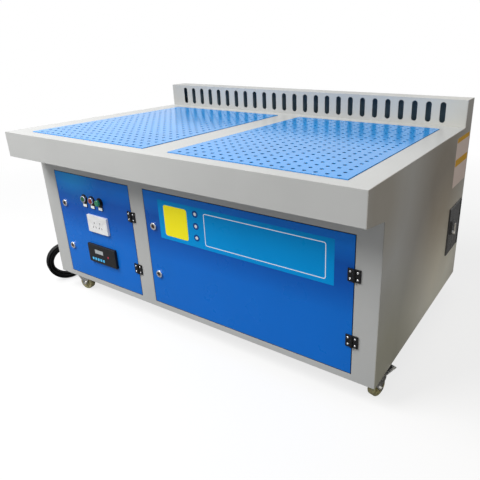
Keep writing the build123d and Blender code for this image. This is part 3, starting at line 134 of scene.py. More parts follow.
def make_camera():
    """Camera at the photograph's viewpoint."""
    camera = bpy.data.objects.new("camera", bpy.data.cameras.new("camera"))
    bpy.context.scene.collection.objects.link(camera)
    right = Vector(CAMERA_RIGHT).normalized()
    forward = Vector(CAMERA_FORWARD).normalized()
    upward = right.cross(forward)
    turn = Matrix((right, upward, -forward)).transposed().to_4x4()
    camera.matrix_world = Matrix.Translation(CAMERA_PLACE) @ turn
    camera.data.lens = LENS
    camera.data.sensor_width = SENSOR
    camera.data.shift_x = SHIFT_X
    camera.data.shift_y = SHIFT_Y
    bpy.context.scene.camera = camera


# Material nodes


class Shader:
    """A procedural material under construction."""

    def __init__(self, name):
        self.material = bpy.data.materials.new(name)
        self.material.use_nodes = True
        self.tree = self.material.node_tree
        self.surface = self.tree.nodes["Principled BSDF"]
        self.place = self.tree.nodes.new("ShaderNodeTexCoord").outputs["Object"]

    def node(self, kind, **values):
        """New node with its properties and input values set."""
        made = self.tree.nodes.new(kind)
        for name, value in values.items():
            if hasattr(made, name) and name not in made.inputs:
                setattr(made, name, value)
            else:
                made.inputs[name.replace("_", " ")].default_value = value
        return made

    def link(self, output, target):
        self.tree.links.new(output, target)

    def set(self, **values):
        """Constant values on the shader's own sockets."""
        for name, value in values.items():
            self.surface.inputs[name.replace("_", " ")].default_value = value

    def stretched(self, scale):
        """Object coordinates scaled along each axis."""
        mapping = self.node("ShaderNodeMapping")
        mapping.inputs["Scale"].default_value = scale
        self.link(self.place, mapping.inputs["Vector"])
        return mapping.outputs["Vector"]

    def noise(self, scale, detail=3.0, stretch=None):
        """Value of a noise over the surface."""
        made = self.node("ShaderNodeTexNoise", Scale=scale, Detail=detail)
        self.link(self.stretched(stretch) if stretch else self.place, made.inputs["Vector"])
        return made.outputs["Fac"]

    def ramp(self, value, low, high, first, second):
        """Two values or colours mixed by a value between two limits."""
        made = self.node("ShaderNodeMapRange", clamp=True)
        made.inputs["From Min"].default_value = low
        made.inputs["From Max"].default_value = high
        if isinstance(first, tuple):
            self.link(value, made.inputs["Value"])
            mix = self.node("ShaderNodeMix", data_type="RGBA")
            self.link(made.outputs["Result"], mix.inputs[0])
            self.link_or_set(first, mix.inputs[6])
            self.link_or_set(second, mix.inputs[7])
            return mix.outputs[2]
        made.inputs["To Min"].default_value = first
        made.inputs["To Max"].default_value = second
        self.link(value, made.inputs["Value"])
        return made.outputs["Result"]

    def link_or_set(self, value, target):
        if isinstance(value, tuple):
            target.default_value = (*value, 1.0)
        else:
            self.link(value, target)

    def blend(self, share, first, second):
        """Colour mixed from two colours, constants or outputs, by a share."""
        mix = self.node("ShaderNodeMix", data_type="RGBA")
        self.link(share, mix.inputs[0])
        self.link_or_set(first, mix.inputs[6])
        self.link_or_set(second, mix.inputs[7])
        return mix.outputs[2]

    def height(self):
        """Height on the object."""
        split = self.node("ShaderNodeSeparateXYZ")
        self.link(self.place, split.inputs[0])
        return split.outputs["Z"]

    def distance_from(self, centre):
        """Distance from a point."""
        made = self.node("ShaderNodeVectorMath", operation="DISTANCE")
        self.link(self.place, made.inputs[0])
        made.inputs[1].default_value = centre
        return made.outputs["Value"]

    def painted_light_tone(self, value, centre, reach, near, far):
        """Colour multiplied by a tone that changes with the height or a distance: painted light and
        shade.
        """
        measure = self.height() if centre == "height" else self.distance_from(centre)
        mix = self.node("ShaderNodeMix", data_type="RGBA", blend_type="MULTIPLY")
        mix.inputs[0].default_value = 1.0
        self.link(value, mix.inputs[6])
        self.link(self.ramp(measure, *reach, near, far), mix.inputs[7])
        return mix.outputs[2]

    def colour(self, value):
        self.link_or_set(value, self.surface.inputs["Base Color"])

    def roughness(self, value):
        self.link(value, self.surface.inputs["Roughness"])

    def rounded_edge(self, radius):
        """Normal that rounds the sharp edges, and the share by which it differs from the face's."""
        bevel = self.node("ShaderNodeBevel", samples=4, Radius=radius)
        geometry = self.node("ShaderNodeNewGeometry")
        product = self.node("ShaderNodeVectorMath", operation="DOT_PRODUCT")
        self.link(bevel.outputs["Normal"], product.inputs[0])
        self.link(geometry.outputs["Normal"], product.inputs[1])
        edge_wear_and_highlight = self.ramp(product.outputs["Value"], 0.98, 0.75, 0.0, 1.0)
        return bevel.outputs["Normal"], edge_wear_and_highlight

    def bump(self, height, distance, strength=1.0, normal=None):
        """Bump of the surface by a height, over an optional normal."""
        made = self.node("ShaderNodeBump", Strength=strength, Distance=distance)
        self.link(height, made.inputs["Height"])
        if normal is not None:
            self.link(normal, made.inputs["Normal"])
        self.link(made.outputs["Normal"], self.surface.inputs["Normal"])


# Usual share of a noise that a tone or a roughness runs over, and the radii of rounded edges
MIDDLE = (0.3, 0.7)
FINE_EDGE = 0.0006
WIDE_EDGE = 0.0012
SOFT_EDGE = 0.0008
SHARP_EDGE = 0.0005


def clouded(made, scale, detail, colour, darker, lighter):
    """Colour that a noise makes a little darker or lighter."""
    return made.ramp(made.noise(scale, detail), *MIDDLE, shade_of(colour, darker),
                     shade_of(colour, lighter))


def shade_of(colour, factor):
    """A colour made lighter or darker by a factor."""
    return tuple(min(1.0, part * factor) for part in colour)


def powder_coat(name, colour, edge, rough, grain=0.00022, gloss=0.3, painted_light_tones=()):
    """Powder coat: orange peel, faint clouding, specks, paler edges as a painted edge highlight
    with a little wear, and broad tones of painted light and shade.
    """
    made = Shader(name)
    body_tone = clouded(made, 2.6, 4.0, colour, 0.95, 1.04)
    # Painted light and shade: each tone makes the paint lighter or darker by place
    for painted_light_tone in painted_light_tones:
        body_tone = made.painted_light_tone(body_tone, *painted_light_tone)
    speck = made.ramp(made.noise(320.0, 2.0), 0.72, 0.80, 0.0, 0.10)
    dust_and_painted_light = made.blend(speck, body_tone, shade_of(colour, 0.72))
    normal, edge_wear_and_highlight = made.rounded_edge(WIDE_EDGE)
    # Paler edges: painted edge highlight, with a little wear
    made.colour(made.blend(made.ramp(edge_wear_and_highlight, 0.0, 1.0, 0.0, 0.55), dust_and_painted_light, edge))
    made.roughness(made.ramp(made.noise(9.0, 4.0), *MIDDLE, rough - 0.05, rough + 0.07))
    made.bump(made.noise(520.0, 2.0), grain, 0.5, normal)
    made.set(Specular_IOR_Level=gloss)
    return made.material


def enamel(name, colour):
    """Gloss enamel on the perforated plates, with a slight waviness and fine scratches."""
    made = Shader(name)
    body_tone = clouded(made, 4.0, 3.0, colour, 0.93, 1.06)
    normal, edge_wear_and_highlight = made.rounded_edge(SOFT_EDGE)
    # Paler edges: painted edge highlight
    made.colour(made.blend(made.ramp(edge_wear_and_highlight, 0.0, 1.0, 0.0, 0.35), body_tone, shade_of(colour, 1.5)))
    scratches = made.noise(60.0, 5.0, (1.0, 14.0, 1.0))
    made.roughness(made.ramp(scratches, 0.45, 0.75, 0.16, 0.27))
    made.bump(made.noise(38.0, 2.0), 0.00022, 0.35, normal)
    made.set(Specular_IOR_Level=0.4)
    return made.material


def galvanised(name, colour):
    """Zinc-coated sheet with its spangle."""
    made = Shader(name)
    cells = made.node("ShaderNodeTexVoronoi", Scale=95.0)
    made.link(made.place, cells.inputs["Vector"])
    tone = made.node("ShaderNodeSeparateColor")
    made.link(cells.outputs["Color"], tone.inputs["Color"])
    made.colour(made.ramp(tone.outputs["Red"], 0.0, 1.0, shade_of(colour, 0.80),
                          shade_of(colour, 1.15)))
    made.roughness(made.ramp(tone.outputs["Green"], 0.0, 1.0, 0.30, 0.50))
    normal, _ = made.rounded_edge(FINE_EDGE)
    made.bump(made.noise(240.0, 3.0), 0.0001, 0.4, normal)
    made.set(Metallic=1.0)
    return made.material


def turned_metal(name, colour, rough, scale=180.0):
    """Plated or turned metal with fine streaks and rounded edges."""
    made = Shader(name)
    streaks = made.noise(scale, 4.0)
    made.colour(made.ramp(streaks, 0.35, 0.65, shade_of(colour, 0.86), shade_of(colour, 1.08)))
    made.roughness(made.ramp(streaks, *MIDDLE, rough * 0.8, rough * 1.3))
    normal, _ = made.rounded_edge(SHARP_EDGE)
    made.bump(streaks, 0.00003, 0.5, normal)
    made.set(Metallic=1.0)
    return made.material


def moulded(name, colour, rough, gloss=0.5, coat=0.0, glow=0.0):
    """Moulded plastic or rubber with a fine texture."""
    made = Shader(name)
    made.colour(clouded(made, 45.0, 4.0, colour, 0.88, 1.12))
    made.roughness(made.ramp(made.noise(120.0, 3.0), *MIDDLE, rough - 0.05, rough + 0.08))
    normal, _ = made.rounded_edge(FINE_EDGE)
    made.bump(made.noise(900.0, 2.0), 0.00008, 0.6, normal)
    made.set(Coat_Weight=coat, Specular_IOR_Level=gloss)
    # Emission: the lamp's and the lamp dot's own light; on the socket and the keys, which are no
    # lamps, it is painted light
    if glow:
        made.set(Emission_Color=(*colour, 1.0), Emission_Strength=glow)
    return made.material


def black_plate(name):
    """Black zinc plate of the hinges, rubbed to metal along its edges."""
    made = Shader(name)
    normal, edge_wear_and_highlight = made.rounded_edge(FINE_EDGE)
    made.colour(made.blend(made.ramp(edge_wear_and_highlight, 0.2, 1.0, 0.0, 0.4), (0.012, 0.012, 0.013),
                           (0.16, 0.16, 0.16)))
    made.roughness(made.ramp(made.noise(140.0, 3.0), *MIDDLE, 0.28, 0.42))
    made.bump(made.noise(600.0, 2.0), 0.00006, 0.5, normal)
    made.set(Metallic=0.3)
    return made.material


def tread(name):
    """Cast polyurethane of the wheels, with grime where it rolls."""
    made = Shader(name)
    grime = made.ramp(made.noise(55.0, 5.0), 0.42, 0.66, 0.0, 0.75)
    made.colour(made.blend(grime, (0.56, 0.52, 0.27), (0.26, 0.23, 0.13)))
    made.roughness(made.ramp(made.noise(90.0, 3.0), *MIDDLE, 0.36, 0.58))
    normal, _ = made.rounded_edge(SOFT_EDGE)
    made.bump(made.noise(260.0, 3.0), 0.00015, 0.6, normal)
    made.set(Subsurface_Weight=0.08, Subsurface_Scale=0.004)
    return made.material


def filter_cloth(name):
    """Spun polyester of the cartridges, greyed by dust."""
    made = Shader(name)
    dust = made.ramp(made.noise(12.0, 5.0), 0.4, 0.7, 0.0, 0.6)
    made.colour(made.blend(dust, (0.78, 0.77, 0.71), (0.46, 0.44, 0.40)))
    made.bump(made.noise(1400.0, 3.0), 0.0002, 0.8)
    made.set(Roughness=0.9, Sheen_Weight=0.25)
    return made.material


def cord_sheath(name):
    """Rubber sheath with faint lengthwise streaks and dust."""
    made = Shader(name)
    streaks = made.noise(130.0, 4.0)
    made.colour(made.ramp(streaks, 0.35, 0.7, (0.003, 0.003, 0.003), (0.012, 0.012, 0.012)))
    made.roughness(made.ramp(streaks, *MIDDLE, 0.34, 0.52))
    made.bump(made.noise(700.0, 2.0), 0.00008, 0.5)
    made.set(Specular_IOR_Level=0.2)
    return made.material


def printed_film(name, colour, rough=0.30, gloss=0.3, glow=0.0):
    """Printed sticker film: fine dot grain, a slight fade and faint blisters; the glow of bright
    inks is painted light.
    """
    made = Shader(name)
    dots = made.ramp(made.noise(1600.0, 1.0), 0.45, 0.6, colour, shade_of(colour, 1.05))
    fade = made.ramp(made.noise(5.0, 3.0), 0.3, 0.75, 0.0, 0.5)
    made.colour(made.blend(fade, dots, shade_of(colour, 0.92)))
    made.roughness(made.ramp(made.noise(30.0, 3.0), *MIDDLE, rough - 0.04, rough + 0.08))
    made.bump(made.noise(70.0, 2.0), 0.00008, 0.12)
    made.set(Specular_IOR_Level=gloss, Emission_Color=(*colour, 1.0), Emission_Strength=glow)
    return made.material


def display_pane(name):
    """Grey liquid-crystal window with a faint grid of cells."""
    made = Shader(name)
    cells = made.node("ShaderNodeTexVoronoi", Scale=700.0)
    made.link(made.place, cells.inputs["Vector"])
    made.colour(made.ramp(cells.outputs["Distance"], 0.0, 0.6, (0.46, 0.50, 0.51),
                          (0.60, 0.64, 0.65)))
    made.set(Roughness=0.12, Coat_Weight=0.5)
    return made.material


def make_paints():
    """Powder coats and enamel."""
    return {
        "shell": powder_coat("shell_paint", SHELL_PAINT, SHELL_EDGE_WEAR_AND_HIGHLIGHT, 0.34),
        # Right side: the shell's paint made darker as painted shade, with painted light and shade
        # tones
        "side": powder_coat("side_paint_with_painted_light", shade_of(SHELL_PAINT, 0.88), SHELL_EDGE_WEAR_AND_HIGHLIGHT, 0.34,
                            painted_light_tones=SIDE_PAINTED_LIGHT),
        # Backsplash: the shell's paint made darker as painted shade, with a painted light tone
        "splash": powder_coat("splash_paint_with_painted_light", shade_of(SHELL_PAINT, 0.80), SHELL_EDGE_WEAR_AND_HIGHLIGHT, 0.34,
                              painted_light_tones=SPLASH_PAINTED_LIGHT),
        # Doors: painted light and shade tones, and a paler painted edge highlight
        "door": powder_coat("door_paint_with_painted_light", DOOR_PAINT, shade_of(DOOR_PAINT, 1.15), 0.30, gloss=0.22,
                            painted_light_tones=DOOR_PAINTED_LIGHT),
        "grate": enamel("grate_enamel", GRATE_ENAMEL),
        # Side hatch: a painted reflection tone and a much paler painted edge highlight
        "hatch": powder_coat("hatch_paint", HATCH_PAINT, shade_of(HATCH_PAINT, 2.5), 0.26, 0.0001,
                             painted_light_tones=HATCH_PAINTED_REFLECTION),
        "tank": powder_coat("tank_paint", (0.035, 0.05, 0.07), (0.2, 0.2, 0.2), 0.30),
        "motor": powder_coat("motor_paint", (0.03, 0.06, 0.10), (0.16, 0.18, 0.2), 0.34),
    }


def make_metals():
    """Bare and plated metal."""
    return {
        "galvanised": galvanised("galvanised_sheet", GALVANISED),
        "zinc": turned_metal("zinc_plate", (0.62, 0.61, 0.58), 0.26),
        "chrome": turned_metal("chrome_plate", (0.90, 0.90, 0.91), 0.14),
        "lock": turned_metal("lock_core", (0.13, 0.08, 0.065), 0.34, 400.0),
        "aluminium": turned_metal("cast_aluminium", (0.60, 0.60, 0.61), 0.42, 90.0),
        "hinge": black_plate("hinge_plate"),
        "pedal": turned_metal("pedal_plate", (0.74, 0.74, 0.73), 0.30),
        "bolt": turned_metal("bolt_head", (0.86, 0.85, 0.83), 0.16),
    }


def make_mouldings():
    """Plastic, rubber, cloth and the controller's window."""
    return {
        "green": moulded("green_cap", (0.004, 0.20, 0.075), 0.22, coat=0.4),
        "red": moulded("red_cap", (0.42, 0.012, 0.016), 0.22, coat=0.4),
        "lens": moulded("green_lens", (0.004, 0.26, 0.10), 0.12, coat=0.8, glow=0.12),
        # Socket glows a little: painted light
        "white": moulded("white_socket", (0.92, 0.92, 0.92), 0.30, glow=0.12),
        "controller": moulded("controller_case", (0.018, 0.018, 0.019), 0.42, gloss=0.25),
        "window": display_pane("controller_window"),
        # Keys glow: painted light
        "key": moulded("key_caps", (0.08, 0.50, 0.86), 0.35, glow=0.25),
        "led": moulded("lamp_dot", (0.55, 0.04, 0.08), 0.2, glow=0.2),
        "black": moulded("black_moulding", (0.010, 0.010, 0.011), 0.36, gloss=0.3),
        "plug": moulded("plug_rubber", (0.016, 0.016, 0.016), 0.5),
        "tread": tread("wheel_tread"),
        "filter": filter_cloth("filter_cloth"),
        "cord": cord_sheath("cord_sheath"),
        # Dark sheet behind the backsplash's slots: painted shade
        "shade_sheet": moulded("slate_shade_sheet", (0.10, 0.16, 0.20), 0.6),
        # Black strips in the door gaps: painted shade
        "gap_shade": moulded("gap_shade_black", (0.006, 0.007, 0.009), 0.7),
        "pad": moulded("pedal_pad", (0.012, 0.012, 0.012), 0.6),
    }


def make_films():
    """Printed film of the banner and the labels."""
    return {
        # Banner, yellow panel, white print and disc marks glow: painted light
        "banner": printed_film("banner_film", BANNER_BLUE, gloss=0.1, glow=0.02),
        "patch": printed_film("patch_film", PATCH_YELLOW, gloss=0.15, glow=0.36),
        "lines": printed_film("white_print", PRINT_WHITE, glow=0.25),
        "discs": printed_film("disc_print", (0.006, 0.10, 0.42), gloss=0.1),
        "disc_mark": printed_film("disc_mark_print", PRINT_WHITE, glow=0.1),
        "label": printed_film("label_film", LABEL_PALE, 0.4, gloss=0.1),
        "ochre": printed_film("ochre_print", LABEL_OCHRE, 0.4, gloss=0.1),
    }


MATERIAL_OF_NODES = {
    "shell": ["left_side_panel", "back_panel", "front_frame", "worktop_frame"],
    "side": ["right_side_panel"],
    "splash": ["backsplash"],
    "galvanised": ["bottom_pan", "grate_ledges", "plenum_floor", "tube_sheet", "dust_drawer",
                   "fan_housing"],
    "door": ["left_door_panel", "right_door_panel"],
    "grate": ["left_grate", "right_grate"],
    "hatch": ["side_hatch"],
    "filter": ["filter_cartridges"],
    "tank": ["air_tank"],
    "aluminium": ["pulse_valves", "fan_impeller"],
    "motor": ["fan_motor"],
    "hinge": ["hinge_frame_leaves", "left_door_hinge_leaves", "right_door_hinge_leaves"],
    "chrome": ["left_door_lock_bezels", "right_door_lock_bezels", "button_collars",
               "hatch_lever"],
    "lock": ["left_upper_lock_core", "left_lower_lock_core", "right_upper_lock_core",
             "right_lower_lock_core"],
    "green": ["start_button"],
    "red": ["stop_button"],
    "lens": ["indicator_lamp"],
    "white": ["socket_outlet"],
    "controller": ["controller_housing"],
    "window": ["controller_window"],
    "key": [f"controller_key_{index}" for index in range(1, 6)],
    "black": ["cable_gland"],
    "plug": ["plug"],
    "zinc": ["caster_plates", "front_left_caster_fork", "front_right_caster_fork",
             "rear_left_caster_fork", "rear_right_caster_fork"],
    "tread": ["front_left_caster_wheel", "front_right_caster_wheel", "rear_left_caster_wheel",
              "rear_right_caster_wheel"],
    "pedal": ["front_left_brake_pedal", "front_right_brake_pedal"],
}


def paint_nodes(materials):
    """Give each CAD node its material."""
    for name, nodes in MATERIAL_OF_NODES.items():
        for node in nodes:
            mesh = NODES[node].data
            mesh.materials.clear()
            mesh.materials.append(materials[name])


def paint_faces(node, material, chosen):
    """Give a second material to the faces of a node whose centre, in metres, is chosen."""
    piece = NODES[node]
    mesh = piece.data
    mesh.materials.append(material)
    slot = len(mesh.materials) - 1
    for face in mesh.polygons:
        if chosen(piece.matrix_world @ face.center):
            face.material_index = slot


COLLAR_BASE = 0.0042
SOCKET_FACE = 0.0075
SOCKET_EDGE = 0.004
LAMP_DOT = 0.012
LAMP_COLLAR = 0.005
CASTER_TURNS = {"front_left": -82, "front_right": -14, "rear_left": 0, "rear_right": 0}
FORK_HALF_WIDTH = 0.0177


def paint_details(materials):
    """Black collar bases, socket slots painted black as painted shade, the controller's lamp and
    bright axle bolts.
    """
    front = node_range("front_frame", 1)[0]
    lamp_edge = node_range("indicator_lamp", 0)[0] - LAMP_COLLAR
    paint_faces("button_collars", materials["black"],
                lambda at: at.y > front - COLLAR_BASE or at.x > lamp_edge)
    # Socket slots: their faces painted black, painted shade in the holes
    low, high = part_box("socket_outlet")
    paint_faces("socket_outlet", materials["black"],
                lambda at: at.y > front - SOCKET_FACE
                and low.x + SOCKET_EDGE < at.x < high.x - SOCKET_EDGE
                and low.z + SOCKET_EDGE < at.z < high.z - SOCKET_EDGE)
    dot_edge = node_range("controller_window", 0)[1] - LAMP_DOT
    paint_faces("controller_window", materials["led"], lambda at: at.x > dot_edge)
    for side, degrees in CASTER_TURNS.items():
        wheel_low, wheel_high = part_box(f"{side}_caster_wheel")
        middle = (wheel_low + wheel_high) / 2
        turn = math.radians(degrees)
        axle = Vector((math.cos(turn), math.sin(turn), 0))
        paint_faces(f"{side}_caster_fork", materials["bolt"],
                    lambda at, m=middle, a=axle: abs((at - m).dot(a)) > FORK_HALF_WIDTH)


# Cord


def coil_point(angle):
    """Point of the coil's line after a turn, in metres, on the coil's own axes."""
    span = 2 * math.pi * COIL_TURNS_PER_LAYER
    layer = min(int(angle // span), COIL_LAYERS - 1)
    along = angle / span - layer
    inward = along if layer % 2 == 0 else 1 - along
    spread = 1 / (0.75 + 0.25 * math.cos(2 * math.pi / COIL_POINTS_PER_TURN))
    radius = (COIL_RADIUS - inward * COIL_TURNS_PER_LAYER * COIL_PITCH) * spread
    level = 0.0
    for border in range(1, COIL_LAYERS):
        share = min(max((angle - border * span + COIL_CLIMB) / (2 * COIL_CLIMB), 0), 1)
        level += share * share * (3 - 2 * share)
    turned = COIL_START + angle
    height = ((COIL_LAYERS - 1) / 2 - level) * COIL_PITCH
    return radius * math.cos(turned), radius * math.sin(turned), height


def cord_points():
    """Control points of the whole cord: lead, coil and tail."""
    across = Vector((math.sin(COIL_TURN), math.cos(COIL_TURN), 0))
    axis = Vector((math.cos(COIL_TURN), -math.sin(COIL_TURN), 0))
    upward = Vector((0, 0, 1))

    def placed(local, shift=0.0, rise=0.0):
        return vector_sum(COIL_PLACE, (across, local[0] + shift), (upward, local[1] + rise),
                          (axis, local[2]))

    def on_rim(angle):
        local = coil_point(angle)
        length = math.hypot(local[0], local[1])
        return local[0] * COIL_RADIUS / length, local[1] * COIL_RADIUS / length, local[2]

    whole = 2 * math.pi * COIL_TURNS_PER_LAYER * COIL_LAYERS
    first = on_rim(0.0)
    last = on_rim(whole)
    points = [Vector(point) for point in LEAD_ROUTE]
    points.append(placed(first, CORD_DIAMETER + LEAD_END_RUN))
    points.append(placed(first, CORD_DIAMETER))
    count = round(COIL_TURNS_PER_LAYER * COIL_LAYERS * COIL_POINTS_PER_TURN)
    points.append(placed(first))
    for index in range(1, count):
        points.append(placed(coil_point(whole * index / count)))
    points.append(placed(last))
    for step, rise in enumerate((0, 0, PLUG_RISE, PLUG_RISE)):
        points.append(placed(last, CORD_DIAMETER + step * TAIL_STEP, rise))
    return points


def make_cord(materials):
    """The power cord as one smooth curve from the gland to the plug."""
    points = cord_points()
    curve = bpy.data.curves.new("power_cord", "CURVE")
    curve.dimensions = "3D"
    spline = curve.splines.new("NURBS")
    spline.points.add(len(points) - 1)
    for slot, point in zip(spline.points, points):
        slot.co = (*point, 1.0)
    spline.order_u = 3
    spline.use_endpoint_u = True
    spline.resolution_u = 4
    curve.bevel_depth = CORD_DIAMETER / 2
    curve.bevel_resolution = 4
    curve.use_fill_caps = True
    cord = bpy.data.objects.new("power_cord", curve)
    bpy.context.scene.collection.objects.link(cord)
    curve.materials.append(materials["cord"])
    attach(cord, "cabinet")
    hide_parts("cord_lead", "cord_coil", "cord_tail")
    return cord


# Mesh helpers for the trim


def piece_from(name, mesh_builder, material, body):
    """Object from a bmesh that rides on a body."""
    mesh = bpy.data.meshes.new(name)
    mesh_builder.to_mesh(mesh)
    mesh_builder.free()
    made = bpy.data.objects.new(name, mesh)
    bpy.context.scene.collection.objects.link(made)
    mesh.materials.append(material)
    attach(made, body)
    return made


def rounded_rectangle(width, height, corner, steps=6):
    """Flat points of a rectangle with rounded corners about its centre."""
    points = []
    corners = ((1, 1, 0), (-1, 1, 90), (-1, -1, 180), (1, -1, 270))
    for side_x, side_y, start in corners:
        for step in range(steps + 1):
            angle = math.radians(start + 90 * step / steps)
            points.append((side_x * (width / 2 - corner) + corner * math.cos(angle),
                           side_y * (height / 2 - corner) + corner * math.sin(angle)))
    return points


def add_band(build, low, high):
    """Add the faces between two closed loops with as many points."""
    count = len(low)
    for index in range(count):
        after = (index + 1) % count
        build.faces.new((low[index], low[after], high[after], high[index]))


def add_plate(build, outline, place, thickness):
    """Add a thin plate with a flat outline, laid at a place whose local Z is its front."""
    back = [build.verts.new(place @ Vector((x, y, 0))) for x, y in outline]
    front = [build.verts.new(place @ Vector((x, y, thickness))) for x, y in outline]
    build.faces.new(front)
    build.faces.new(back[::-1])
    add_band(build, back, front)


def add_frame(build, outer, inner, place, thickness):
    """Add a thin closed band between two outlines with as many points."""
    rings = []
    for outline, depth in ((outer, 0), (outer, thickness), (inner, thickness), (inner, 0)):
        rings.append([build.verts.new(place @ Vector((x, y, depth))) for x, y in outline])
    for low, high in zip(rings, rings[1:] + rings[:1]):
        add_band(build, low, high)


def on_front(x, z, proud=0.0):
    """Place on the cabinet's front, facing the viewer."""
    y = node_range("front_frame", 1)[0] - proud
    turn = Matrix(((1, 0, 0), (0, 0, -1), (0, 1, 0))).to_4x4()
    return Matrix.Translation((x, y, z)) @ turn


def on_right(y, z, proud=0.0):
    """Place on the cabinet's right side, facing outwards."""
    x = node_range("right_side_panel", 0)[1] + proud
    turn = Matrix(((0, 0, 1), (1, 0, 0), (0, 1, 0))).to_4x4()
    return Matrix.Translation((x, y, z)) @ turn


# Trim on the doors

BANNER_X = (-0.078, 0.610)
BANNER_Z = (0.383, 0.527)
PATCH_X = (-0.052, 0.056)
PATCH_Z = (0.398, 0.511)
OUTLINE_X = (0.131, 0.584)
OUTLINE_Z = (0.397, 0.512)
OUTLINE_LINE = 0.0024
DISC_X = 0.0945
DISC_HEIGHTS = (0.503, 0.460, 0.418)
DISC_RADIUS = 0.0125
DISC_MARK_SHARE = 0.95
BANNER_CORNER = 0.002
PATCH_CORNER = 0.009
OUTLINE_CORNER = 0.008
FILM = 0.0003


def centre_and_size(span_x, span_z):
    """Centre and size of a rectangle given by its limits."""
    return ((span_x[0] + span_x[1]) / 2, (span_z[0] + span_z[1]) / 2,
            span_x[1] - span_x[0], span_z[1] - span_z[0])


def make_banner(materials):
    """Blue banner film with a plain yellow panel, an outline and three discs."""
    x, z, width, height = centre_and_size(BANNER_X, BANNER_Z)
    build = bmesh.new()
    add_plate(build, rounded_rectangle(width, height, BANNER_CORNER), on_front(x, z), FILM)
    piece_from("banner_film", build, materials["banner"], "right_door")

    x, z, width, height = centre_and_size(PATCH_X, PATCH_Z)
    build = bmesh.new()
    outline = rounded_rectangle(width, height, PATCH_CORNER)
    add_plate(build, outline, on_front(x, z, FILM), FILM)
    piece_from("banner_panel", build, materials["patch"], "right_door")

    x, z, width, height = centre_and_size(OUTLINE_X, OUTLINE_Z)
    build = bmesh.new()
    inset = 2 * OUTLINE_LINE
    outer = rounded_rectangle(width, height, OUTLINE_CORNER)
    inner = rounded_rectangle(width - inset, height - inset, OUTLINE_CORNER - OUTLINE_LINE)
    add_frame(build, outer, inner, on_front(x, z, FILM), FILM)
    piece_from("banner_outline", build, materials["lines"], "right_door")

    discs = bmesh.new()
    marks = bmesh.new()
    small = DISC_RADIUS * DISC_MARK_SHARE
    disc = rounded_rectangle(2 * DISC_RADIUS, 2 * DISC_RADIUS, DISC_RADIUS)
    mark = rounded_rectangle(small, small, small / 2)
    for height in DISC_HEIGHTS:
        add_plate(discs, disc, on_front(DISC_X, height, FILM), FILM)
        add_plate(marks, mark, on_front(DISC_X, height, 2 * FILM), FILM)
    piece_from("banner_discs", discs, materials["discs"], "right_door")
    piece_from("banner_disc_marks", marks, materials["disc_mark"], "right_door")


HOLDER_RADIUS = 0.0185
HOLDER_BORE = 0.0153
HOLDER_TAB = 0.0135
HOLDER_DROP = 0.034
HOLDER_SHEET = 0.0016
LEGEND_WIDTH = 0.021
LEGEND_HEIGHT = 0.011
LEGEND_DROP = 0.0265
LEGEND_SHEET = 0.0006
LEGEND_CORNER = 0.001
HOLDER_POINTS = 96
NEARLY_UPRIGHT = 1e-6


def keyhole(radius, tab, drop, points):
    """Outline of a disc with a rectangular tab below, walked round its centre."""
    outline = []
    for index in range(points):
        angle = 2 * math.pi * index / points
        across, up = math.cos(angle), math.sin(angle)
        reach = radius
        if up < 0:
            sideways = tab / abs(across) if abs(across) > NEARLY_UPRIGHT else drop
            reach = max(reach, min(sideways, drop / -up))
        outline.append((reach * across, reach * up))
    return outline


def make_legends(materials):
    """Black holders round the buttons and the lamp, with bare white legend plates."""
    holders = bmesh.new()
    legends = bmesh.new()
    outer = keyhole(HOLDER_RADIUS, HOLDER_TAB, HOLDER_DROP, HOLDER_POINTS)
    inner = keyhole(HOLDER_BORE, 0, 0, HOLDER_POINTS)
    for name in ("start_button", "stop_button", "indicator_lamp"):
        low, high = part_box(name)
        x = (low.x + high.x) / 2
        z = (low.z + high.z) / 2
        add_frame(holders, outer, inner, on_front(x, z), HOLDER_SHEET)
        outline = rounded_rectangle(LEGEND_WIDTH, LEGEND_HEIGHT, LEGEND_CORNER, 3)
        add_plate(legends, outline, on_front(x, z - LEGEND_DROP, HOLDER_SHEET), LEGEND_SHEET)
    piece_from("button_holders", holders, materials["black"], "left_door")
    piece_from("button_legends", legends, materials["lines"], "left_door")


# Black strips in the gaps of the doors: painted shade

DOOR_GAP = 0.003
SHADE_STRIP_WIDTH = 0.002
SHADE_STRIP_RECESS = 0.0008
SHADE_STRIP_DEPTH = 0.014


def make_gap_shade_strips(materials):
    """Black strips on the edges of both door openings, clear of the doors: painted shade in the
    gaps.
    """
    build = bmesh.new()
    back = -(SHADE_STRIP_RECESS + SHADE_STRIP_DEPTH)
    for door in ("left_door_panel", "right_door_panel"):
        low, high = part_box(door)
        reach = DOOR_GAP - SHADE_STRIP_WIDTH / 2
        width = high.x - low.x + 2 * DOOR_GAP
        height = high.z - low.z + 2 * (DOOR_GAP - SHADE_STRIP_WIDTH)
        middle_x = (low.x + high.x) / 2
        middle_z = (low.z + high.z) / 2
        for z in (low.z - reach, high.z + reach):
            add_plate(build, rounded_rectangle(width, SHADE_STRIP_WIDTH, SHADE_STRIP_WIDTH / 4, 2),
                      on_front(middle_x, z, back), SHADE_STRIP_DEPTH)
        for x in (low.x - reach, high.x + reach):
            add_plate(build, rounded_rectangle(SHADE_STRIP_WIDTH, height, SHADE_STRIP_WIDTH / 4, 2),
                      on_front(x, middle_z, back), SHADE_STRIP_DEPTH)
    piece_from("door_gap_shade_strips", build, materials["gap_shade"], "cabinet")


# Rubber pads on the brake pedals, in each caster's own axes with the wheel towards +Y

PAD_PIVOTS = {"front_left": (-0.668, -0.338), "front_right": (0.721, -0.327)}
PAD_LENGTH = (0.066, 0.096)
PAD_WIDTH = 0.021
PAD_SHEET = 0.0022
PAD_CORNER = 0.003
PAD_RIBS = 5
RIB_WIDTH = 0.0028
RIB_CORNER = 0.001
RIB_SHARE = 0.8


